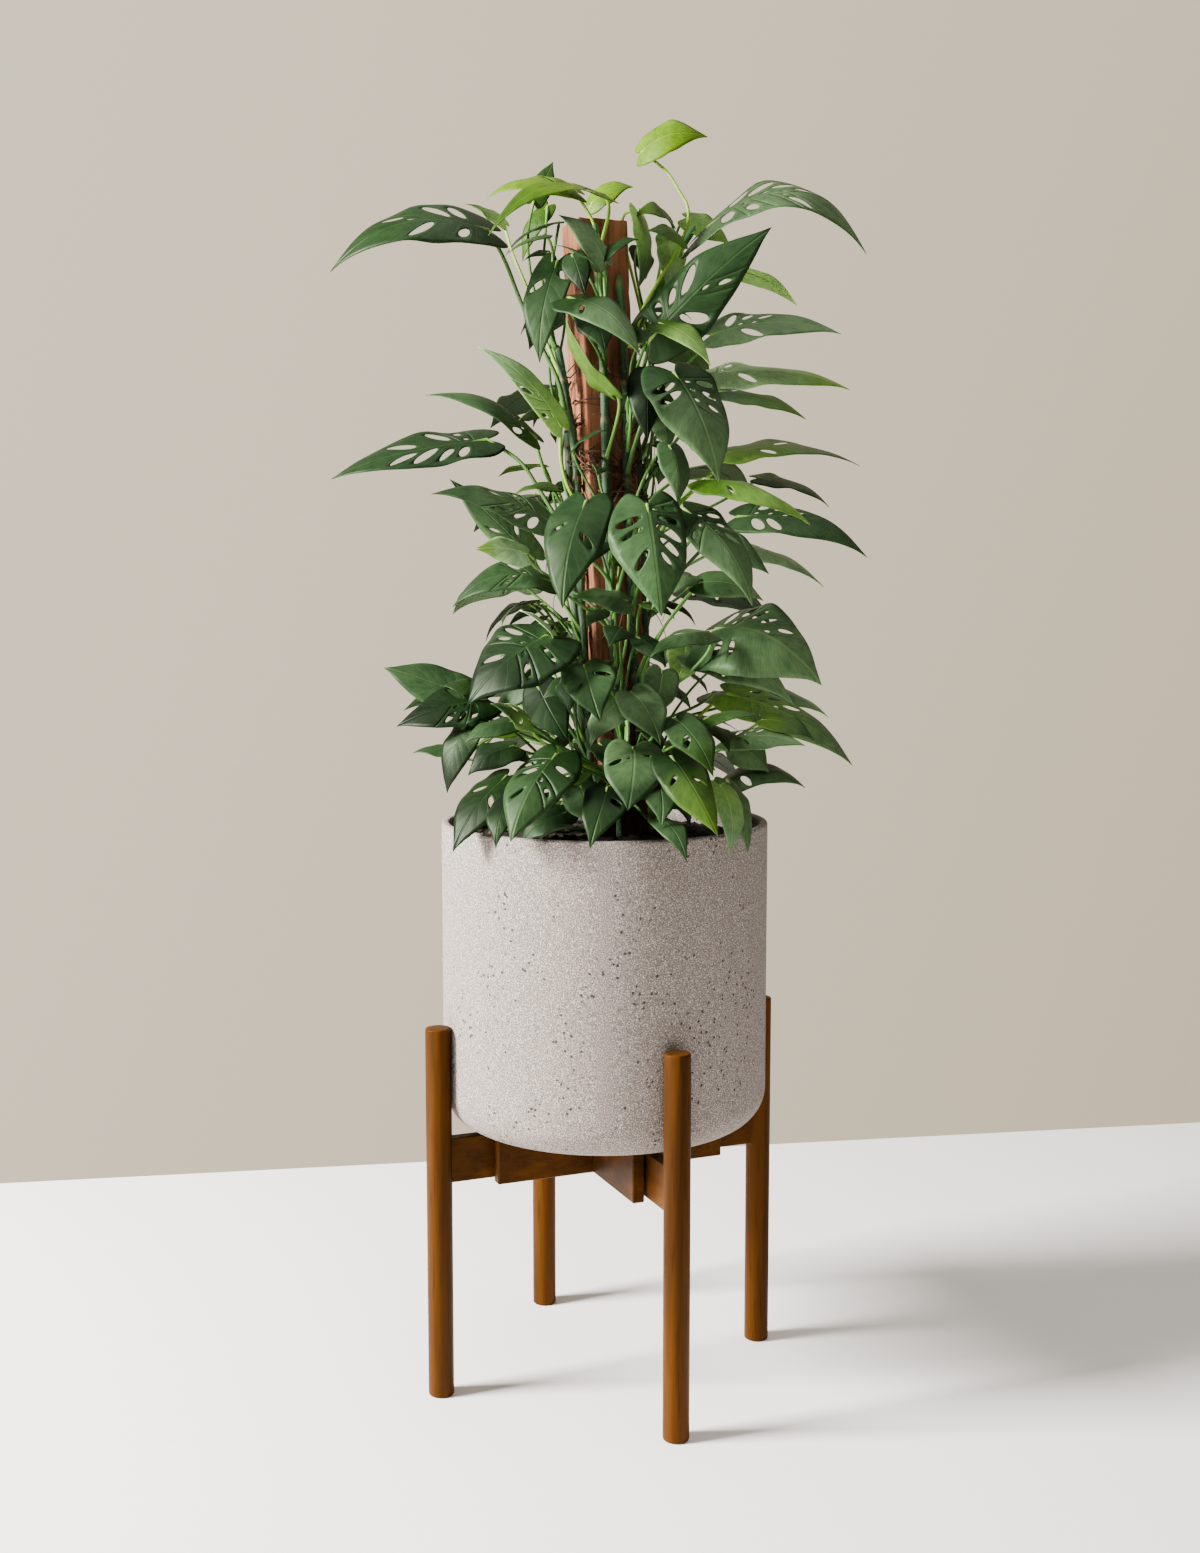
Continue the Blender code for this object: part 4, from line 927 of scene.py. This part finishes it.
# Holes: the order in which sectors open on each half, and sizes as shares of a sector. Some large
# blades get a second, smaller hole beside the midrib
holePlan = {
    "order": [(3, -1), (2, 1), (4, 1), (3, 1), (2, -1), (5, -1), (1, 1), (5, 1), (4, -1), (1, -1)],
    "half": (0.32, 0.31), "size": (0.48, 1.12), "narrow": 0.24, "middle": 0.49, "luck": 4,
    "second": 0.45, "secondSplit": 0.27, "secondMiddle": 0.61, "secondShrink": 0.82,
}


class Stem:
    # a stem's line up its face of the post, in millimetres
    def __init__(self, face, row):
        self.outward = compass(face)
        self.across, self.low, self.top, self.lean, self.fork = row
        self.lowest = max(self.low, growth["moundTop"]) + growth["lowClear"]

    def point(self, z):
        across = self.across
        if self.fork is not None:
            share = min(max((z - self.low) / growth["forkLength"], 0), 1)
            across = self.fork + (across - self.fork) * share
        if z > totem["leanStart"]:
            across += growth["stemSway"] * math.sin((z - totem["leanStart"]) / growth["stemWave"])
        away = growth["stemClear"]
        leanStart = self.top - growth["leanLength"]
        if z > leanStart:
            away += self.lean * ((z - leanStart) / growth["leanLength"]) ** growth["leanPower"]
        sideways = Vector((-self.outward.y, self.outward.x, 0))
        return postCentre(z) + self.outward * away + sideways * across


def along(points, place):
    # a smooth curve through points, at a place counted in points
    last = len(points) - 1
    i = min(max(int(place), 0), last - 1)
    t = place - i
    a, b, c, d = (points[min(max(i + k, 0), last)] for k in (-1, 0, 1, 2))
    return tuple(
        0.5 * (2 * q + (r - p) * t + (2 * p - 5 * q + 4 * r - s) * t * t + (3 * q - p - 3 * r + s) * t ** 3)
        for p, q, r, s in zip(a, b, c, d)
    )


class Leaf:
    # a blade's frame, its curved surface and its stalk's size, in millimetres
    def __init__(self, row, seed):
        self.base = Vector(row[:3])
        self.width, turn, height, self.arch, self.holes, self.tone = row[6:]
        self.draw = draw = random.Random(seed)
        reach = Vector(row[3:6]) - self.base
        self.length = reach.length
        self.axis = reach.normalized()
        height = math.radians(height)
        hint = compass(turn) * math.cos(height) + Vector((0, 0, math.sin(height)))
        self.normal = (hint - self.axis * hint.dot(self.axis)).normalized()
        self.side = self.normal.cross(self.axis)
        for name, limits in blade["varied"].items():
            setattr(self, name, draw.uniform(*limits))
        self.large = self.length > blade["large"]
        if self.large:
            self.twist *= blade["calm"]
        slim, heart = blade["lobeLimits"]
        self.lobe = min(max(blade["lobe"] * self.width / self.length, slim), heart)
        thin, grow = stalk["radius"]
        self.stalk = thin + grow * self.length

    def point(self, u, w, side, bulge=0.0):
        # u runs from the stalk to the tip, w from the midrib to the margin
        if u < 0:
            u *= self.lobe
        phase = self.phase
        uneven = 1 + blade["uneven"] * math.sin(8.5 * u + phase + 1.7 * side)
        across = side * w * self.width / 2 * (1 + side * self.skew) * uneven
        waves = blade["wave"] * w * w * math.sin(8 * u + phase + side)
        waves += blade["ruffle"] * self.ripple * w ** 3 * math.sin(23 * u + 2 * phase - side)
        waves += blade["frill"] * w ** 3 * math.sin(13 * u + 3 * phase + 2 * side)
        waves += blade["bulge"] * bulge - blade["cup"] * w * w
        rise = self.arch * self.length * (1 - (2 * u - 1) ** 2) + waves * self.width
        rise += self.fold * abs(across) + self.twist * max(u, 0) * across
        rise -= self.curl * self.length * max((u - blade["curlFrom"]) / (1 - blade["curlFrom"]), 0) ** 2
        bend = self.sickle * self.length * 0.5 * max(u, 0) * (1 - u)
        return self.base + self.axis * (u * self.length) + self.side * (across + bend) + self.normal * rise

    def tint(self, u):
        near, far = (self.tone.split("/") * 2)[:2]
        return mixed(leafTones[near], leafTones[far], min(max((u - 0.15) / 0.6, 0), 1))


def bladeSheet(pile, leaf):
    # one flat layer of the blade: sectors between side veins, with their holes
    plan = bladePlans["large" if leaf.large else "small"]
    outline, midrib, ends = plan["outline"], plan["midrib"], plan["ends"]
    sectors = len(midrib) - 1
    draw = leaf.draw
    likely = [spot for spot in holePlan["order"] if spot[0] < sectors - 1]
    chances = {spot: place + draw.uniform(0, holePlan["luck"]) for place, spot in enumerate(likely)}
    opened = sorted(likely, key=chances.get)[:plan["holes"][leaf.holes]]
    shade = 1 + draw.uniform(-blade["shade"], blade["shade"])

    def vein(i, t):
        # a side vein as a curve from the midrib to the margin
        if i == 0:
            return along(outline, ends[0] * t)
        if i == sectors:
            return 1.0, 0.0
        rib, (endU, endW) = midrib[i], along(outline, ends[i])
        midU, midW = rib + (endU - rib) * 0.36, endW * 0.56
        return (
            rib * (1 - t) ** 2 + 2 * midU * t * (1 - t) + endU * t * t,
            2 * midW * t * (1 - t) + endW * t * t,
        )

    def place(i, s, t):
        # a smooth patch between two side veins, the midrib and the margin
        near, far, nearEnd, farEnd = (vein(i + k, share) for share in (t, 1.0) for k in (0, 1))
        edge = along(outline, ends[i] + (ends[i + 1] - ends[i]) * s)
        u, w = (
            (1 - s) * (near[k] - t * nearEnd[k]) + s * (far[k] - t * farEnd[k]) + t * edge[k]
            for k in (0, 1)
        )
        return u, max(w, 0.0)

    for side in (1, -1):
        for i in range(sectors):

            def corner(s, t):
                u, w = place(i, s, t)
                bulge = math.sin(math.pi * s) * math.sin(math.pi * min(t, 0.92))
                tint = tuple(c * shade for c in leaf.tint(u))
                return pile.point(leaf.point(u, w, side, bulge), tint), (u, side * w), (s, t)

            def stitch(ring):
                pile.face(*zip(*ring[::side]))

            hole, small, split = None, None, 0.06
            if (i, side) in opened:
                grow = draw.uniform(*holePlan["size"])
                middle = [0.5 + draw.uniform(-0.07, 0.07), holePlan["middle"] + draw.uniform(-0.05, 0.05)]
                half = [h * grow for h in holePlan["half"]]
                if leaf.large and grow < 0.95 and draw.random() < holePlan["second"]:
                    split = holePlan["secondSplit"]
                    small = (draw.uniform(0.42, 0.58), 0.165, 0.16, 0.06, draw.uniform(0, 6))
                    middle[1] = holePlan["secondMiddle"]
                    half[1] *= holePlan["secondShrink"]
                hole = (*middle, *half, draw.uniform(0, 6))
            patch(corner, stitch, (0.0, split), 2 if small else 1, small)
            patch(corner, stitch, (split, 1.0), 6, hole)


def patch(corner, stitch, span, steps, hole):
    # a stretch of a sector as a grid, or as rings round an oval hole
    wide = 4
    low, high = span
    heights = [low + (high - low) * j / steps for j in range(steps + 1)]
    if hole is None:
        grid = [[corner(i / wide, h) for h in heights] for i in range(wide + 1)]
        for i in range(wide):
            for j in range(steps):
                stitch([grid[i][j], grid[i + 1][j], grid[i + 1][j + 1], grid[i][j + 1]])
        return
    rim = [(i / wide, low) for i in range(wide)] + [(1.0, h) for h in heights[:-1]]
    rim += [(1 - i / wide, high) for i in range(wide)] + [(0.0, h) for h in reversed(heights[1:])]
    middleS, middleT, halfS, halfT, phase = hole
    oval = []
    for s, t in rim:
        angle = math.atan2((t - middleT) / (high - low), (s - middleS))
        uneven = 1 + 0.07 * math.sin(2 * angle + phase) + 0.05 * math.sin(3 * angle + 2 * phase)
        out, up = halfS * uneven * math.cos(angle), halfT * uneven * math.sin(angle)
        oval.append((middleS + out * (1 - holePlan["narrow"] * math.sin(angle)), middleT + up))
    loops = [[corner(*mixed(a, b, share)) for a, b in zip(rim, oval)] for share in (0.0, 0.55, 1.0)]
    for outer, inner in zip(loops, loops[1:]):
        for k in range(len(rim)):
            n = (k + 1) % len(rim)
            stitch([outer[k], outer[n], inner[n], inner[k]])


def sweep(pile, path, radii, tints, sides):
    # a closed tube along a path, with a map of turn and length
    rings, lengths, long, across = [], [], 0.0, None
    for k, here in enumerate(path):
        way = (path[min(k + 1, len(path) - 1)] - path[max(k - 1, 0)]).normalized()
        if across is None:
            across = way.orthogonal().normalized()
        across = (across - way * across.dot(way)).normalized()
        up = way.cross(across)
        if k:
            long += (here - path[k - 1]).length
        lengths.append(long / 100)
        ring = []
        for n in range(sides):
            angle = 2 * math.pi * n / sides
            out = across * math.cos(angle) + up * math.sin(angle)
            ring.append(pile.point(here + out * radii[k], tints[k]))
        rings.append(ring)
    for k in range(len(path) - 1):
        near, far = lengths[k], lengths[k + 1]
        for n in range(sides):
            m = (n + 1) % sides
            left, right = n / sides, (n + 1) / sides
            plan = [(left, near), (right, near), (right, far), (left, far)]
            pile.face([rings[k][n], rings[k][m], rings[k + 1][m], rings[k + 1][n]], plan)
    flat = [(0.5, 0.0)] * sides
    pile.face(rings[0][::-1], flat)
    pile.face(rings[-1], flat)


def stalkPath(leaf, group):
    # from the nearest stem to the blade's base, rising outwards and meeting it from below
    target = leaf.base
    stops = stalkWays.get(tuple(target))
    shares = [k / stalk["steps"] for k in range(stalk["steps"] + 1)]
    if stops:
        return [Vector(along([*stops, tuple(target)], t * len(stops))) for t in shares]

    def beside(stem, drop, top):
        return stem.point(min(max(target.z - drop, stem.lowest), top))

    def gap(stem):
        near = beside(stem, stalk["drop"], stem.top)
        return math.hypot(target.x - near.x, target.y - near.y)

    stem = min(group, key=gap)
    flat = gap(stem)
    drop = stalk["drop"] + stalk["fall"] * flat + leaf.hang * min(max(60 - flat, 0) / 30, 1)
    start = beside(stem, drop, stem.top - growth["stemRadius"])
    reach = (target - start).length
    out, up = stalk["start"]
    under, behind = stalk["end"]
    first = start + (stem.outward * out + Vector((0, 0, up))) * reach
    second = target - (leaf.normal * under + leaf.axis * behind) * reach
    return [
        start * (1 - t) ** 3 + first * 3 * t * (1 - t) ** 2 + second * 3 * t * t * (1 - t) + target * t ** 3
        for t in shares
    ]


def makeStalk(pile, leaf, group):
    # the stalk, its swollen joint and the rib under the blade as one tube
    path = stalkPath(leaf, group)
    last = len(path) - 1
    first = leaf.tone.split("/")[0]
    code, dull, clear = stalk["green"]
    share = dull if first in stalk["dull"].split() else clear
    if first in stalk["vivid"].split():
        code, share = stalk["lime"]
    green = mixed(leaf.tint(0.1), paint(code), share)
    kneeCode, kneeShare = stalk["kneeTone"]
    foot, footLong = stalk["sheath"]
    swell, kneeAt, kneeLong = stalk["knee"]
    radii, tints = [], []
    for k in range(len(path)):
        t = k / last
        sheath = foot * max(0, 1 - t / footLong)
        knee = swell * max(0, 1 - abs(t - kneeAt) / kneeLong)
        radii.append(leaf.stalk * (1 + sheath + knee - stalk["taper"] * t))
        tints.append(mixed(green, paint(kneeCode), kneeShare * (knee > 0.05)))
    for k in range(1, stalk["ribSteps"] + 1):
        u = k / stalk["ribSteps"] * stalk["ribReach"]
        path.append(leaf.point(u, 0, 1) - leaf.normal * (leaf.stalk * 0.45 * (1 - u)))
        radii.append(max(leaf.stalk * stalk["ribRadius"] * (1 - u) ** 1.1, stalk["ribLeast"]))
        tints.append(mixed(leaf.tint(u), green, 0.55 * (1 - 0.6 * u)))
    sweep(pile, path, radii, tints, stalk["sides"])


def makeStem(pile, stem, seed):
    # a stem with swollen joints and pale scars, greener towards its top
    low = max(stem.low, growth["moundTop"] - growth["stemBuried"])
    high = stem.top + growth["stemOver"]
    count = int((high - low) / 4)
    step = growth["nodeStep"]
    offset = random.Random(seed).uniform(0, step)
    dark, scar, green = (paint(code) for code in growth["stemTones"])
    path, radii, tints = [], [], []
    for k in range(count + 1):
        z = low + (high - low) * k / count
        ring = ((z + offset) % step) / step
        swell = growth["nodeSwell"] * math.exp(-((ring - 0.5) / 0.07) ** 2)
        taper = min(1.0, (high - z) / 6 + 0.25)
        path.append(stem.point(z) + Vector((noise.noise(Vector((z * 0.02, seed, 0))), 0, 0)) * 1.2)
        radii.append((growth["stemRadius"] * (1 - 0.12 * (z - low) / (high - low)) + swell) * taper)
        tone = mixed(dark, green, max(0, (z - 980) / 160))
        tints.append(mixed(tone, scar, 0.75 * math.exp(-((ring - 0.56) / 0.03) ** 2)))
    sweep(pile, path, radii, tints, 12)


def makeVine(name):
    rows = leaves[name] + extra[name]
    group = [Stem(faces[name], row) for row in stems[name]]
    sheet, green = Pile(), Pile()
    for index, stem in enumerate(group):
        makeStem(green, stem, len(rows) + index)
    for index, row in enumerate(rows):
        leaf = Leaf(row, growth["seed"] + index)
        makeStalk(green, leaf, group)
        bladeSheet(sheet, leaf)
    blades = sheet.make(f"{name}Leaves")
    pick(blades)
    bpy.ops.object.mode_set(mode="EDIT")
    bpy.ops.mesh.select_all(action="SELECT")
    bpy.ops.mesh.remove_doubles(threshold=0.02 * mm)
    bpy.ops.mesh.dissolve_degenerate(threshold=0.01 * mm)
    bpy.ops.object.mode_set(mode="OBJECT")
    modify(blades, "SOLIDIFY", thickness=blade["thick"] * mm, offset=0.0, material_offset=1)
    settle(smooth(blades), "upper under", "foliage", f"vine_{name}")
    stalks = smooth(green.make(f"{name}Stalks"))
    settle(stalks, "stem", "foliage")
    print(name, "vine made", len(blades.data.polygons), len(stalks.data.polygons))


# Young leaves close to the stems, where the vines are thickest
young = {
    "seed": 57, "clear": 8, "tries": 2500, "spread": 42, "drop": (0.15, 0.95), "bow": (0.06, 0.18),
    "zones": (
        {"count": 64, "low": 566, "high": 775, "near": 44, "far": 106, "long": (32, 60), "share": (0.52, 0.70)},
        {"count": 34, "low": 775, "high": 1128, "near": 42, "far": 66, "long": (24, 48), "share": (0.48, 0.66)},
    ),
    "tones": ("dark", "mid", "moss", "dark", "mid", "bright", "dark", "moss/mid"),
}


def markers(leaf, steps, shares):
    # points on a blade that others keep clear of
    return [leaf.point(u / steps, w, side) for u in range(-1, steps + 1) for w in shares for side in (1, -1)]


def youngRows():
    # places for young leaves that keep clear of every other blade
    draw = random.Random(young["seed"])
    spots = []
    for rows in leaves.values():
        for index, row in enumerate(rows):
            spots += markers(Leaf(row, growth["seed"] + index), 6, (0, 0.45, 0.8))
    made = {name: [] for name in leaves}
    for zone in young["zones"]:
        left = zone["count"]
        for attempt in range(young["tries"]):
            name = draw.choice(("front", "front", "left", "right", "back"))
            way = faces[name] + draw.uniform(-young["spread"], young["spread"])
            z = draw.uniform(zone["low"], zone["high"])
            long = draw.uniform(*zone["long"])
            base = postCentre(z) + compass(way) * draw.uniform(zone["near"], zone["far"])
            drop = draw.uniform(*young["drop"])
            flat = compass(way + draw.uniform(-40, 40)) * math.cos(drop)
            tip = base + (flat - Vector((0, 0, math.sin(drop)))) * long
            row = (
                *base, *tip, long * draw.uniform(*zone["share"]), way + draw.uniform(-25, 25),
                draw.uniform(30, 65), draw.uniform(*young["bow"]), 0, draw.choice(young["tones"]),
            )
            places = markers(Leaf(row, attempt), 4, (0, 0.7))
            if min((place - spot).length for place in places for spot in spots) > young["clear"]:
                spots += places
                made[name].append(row)
                left -= 1
            if not left:
                break
    return made


extra = youngRows()
print("young leaves placed", {name: len(rows) for name, rows in extra.items()})
for name in leaves:
    makeVine(name)

# Air roots: thin brown threads that wrap the post and its stems, thickest in three nests, which
# are given by middle, spread and count, and loose ends that hang in the air near the post
roots = {
    "count": 170, "seed": 31, "nests": ((918, 20, 50), (872, 10, 22), (680, 28, 36)), "low": 575, "high": 1050,
    "turn": (0.35, 2.4), "fall": (-95, 30), "lifts": (0.6, 0.9, 5.0, 10.5, 11.5), "thick": (0.5, 1.35),
    "reach": 33, "sides": 5, "tones": "1f1410 2c1d17 3a281d 4a3424 5a4632",
    "loose": 16, "looseRange": (700, 1040), "looseLong": (25, 60), "looseThick": 0.7, "looseSteps": 12,
}


def squareReach(angle):
    turn = math.radians(totem["turn"])
    return totem["half"] / max(abs(math.cos(angle - turn)), abs(math.sin(angle - turn)))


def thread(pile, path, thick, thin, tint):
    # a root that grows thinner by a share of its thickness
    last = len(path) - 1
    radii = [thick * (1 - thin * k / last) for k in range(last + 1)]
    sweep(pile, path, radii, [tint] * (last + 1), roots["sides"])


def makeRoots():
    draw = random.Random(roots["seed"])
    starts = []
    for middle, spread, count in roots["nests"]:
        starts += [draw.gauss(middle, spread) for _ in range(count)]
    while len(starts) < roots["count"]:
        starts.append(draw.uniform(roots["low"], roots["high"]))
    pile = Pile()
    browns = [paint(code) for code in roots["tones"].split()]
    for z in starts:
        angle = math.radians(draw.uniform(0, 360))
        turnBy = draw.choice((-1, 1)) * draw.uniform(*roots["turn"])
        fall = draw.uniform(*roots["fall"])
        high = draw.choice(roots["lifts"])
        thick = draw.uniform(*roots["thick"])
        tint = draw.choice(browns)
        wander = draw.uniform(0, 9)
        path = []
        steps = 8 + int(abs(turnBy) * 8)
        for k in range(steps + 1):
            t = k / steps
            here = angle + turnBy * t
            height = z + fall * t + 5 * noise.noise(Vector((wander, t * 3.5, 1)))
            lift = high * math.sin(math.pi * min(max(t, 0.02), 0.98)) ** 0.35
            lift += 1.5 * noise.noise(Vector((wander, t * 5, 7)))
            out = min(squareReach(here), roots["reach"]) + max(lift, 0.2)
            path.append(postCentre(height) + Vector((math.cos(here) * out, math.sin(here) * out, 0)))
        thread(pile, path, thick, 0.5, tint)
    for _ in range(roots["loose"]):
        angle = math.radians(draw.uniform(0, 360))
        centre = postCentre(draw.uniform(*roots["looseRange"]))
        path = []
        long = draw.uniform(*roots["looseLong"])
        swing = draw.uniform(-0.8, 0.8)
        for k in range(roots["looseSteps"] + 1):
            t = k / roots["looseSteps"]
            here = angle + swing * t * t
            out = roots["reach"] + long * 0.45 * math.sin(math.pi * t * 0.62)
            path.append(centre + Vector((math.cos(here) * out, math.sin(here) * out, -long * t * t)))
        thread(pile, path, roots["looseThick"], 0.6, browns[1])
    settle(smooth(pile.make("airRoots")), "root", "totem_wood")


makeRoots()
print("air roots made")

low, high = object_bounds()
{"cad": [list(cadLow), list(cadHigh)], "scene": [list(low), list(high)]}
print("sizes", [round(v, 4) for v in (*low, *high)])
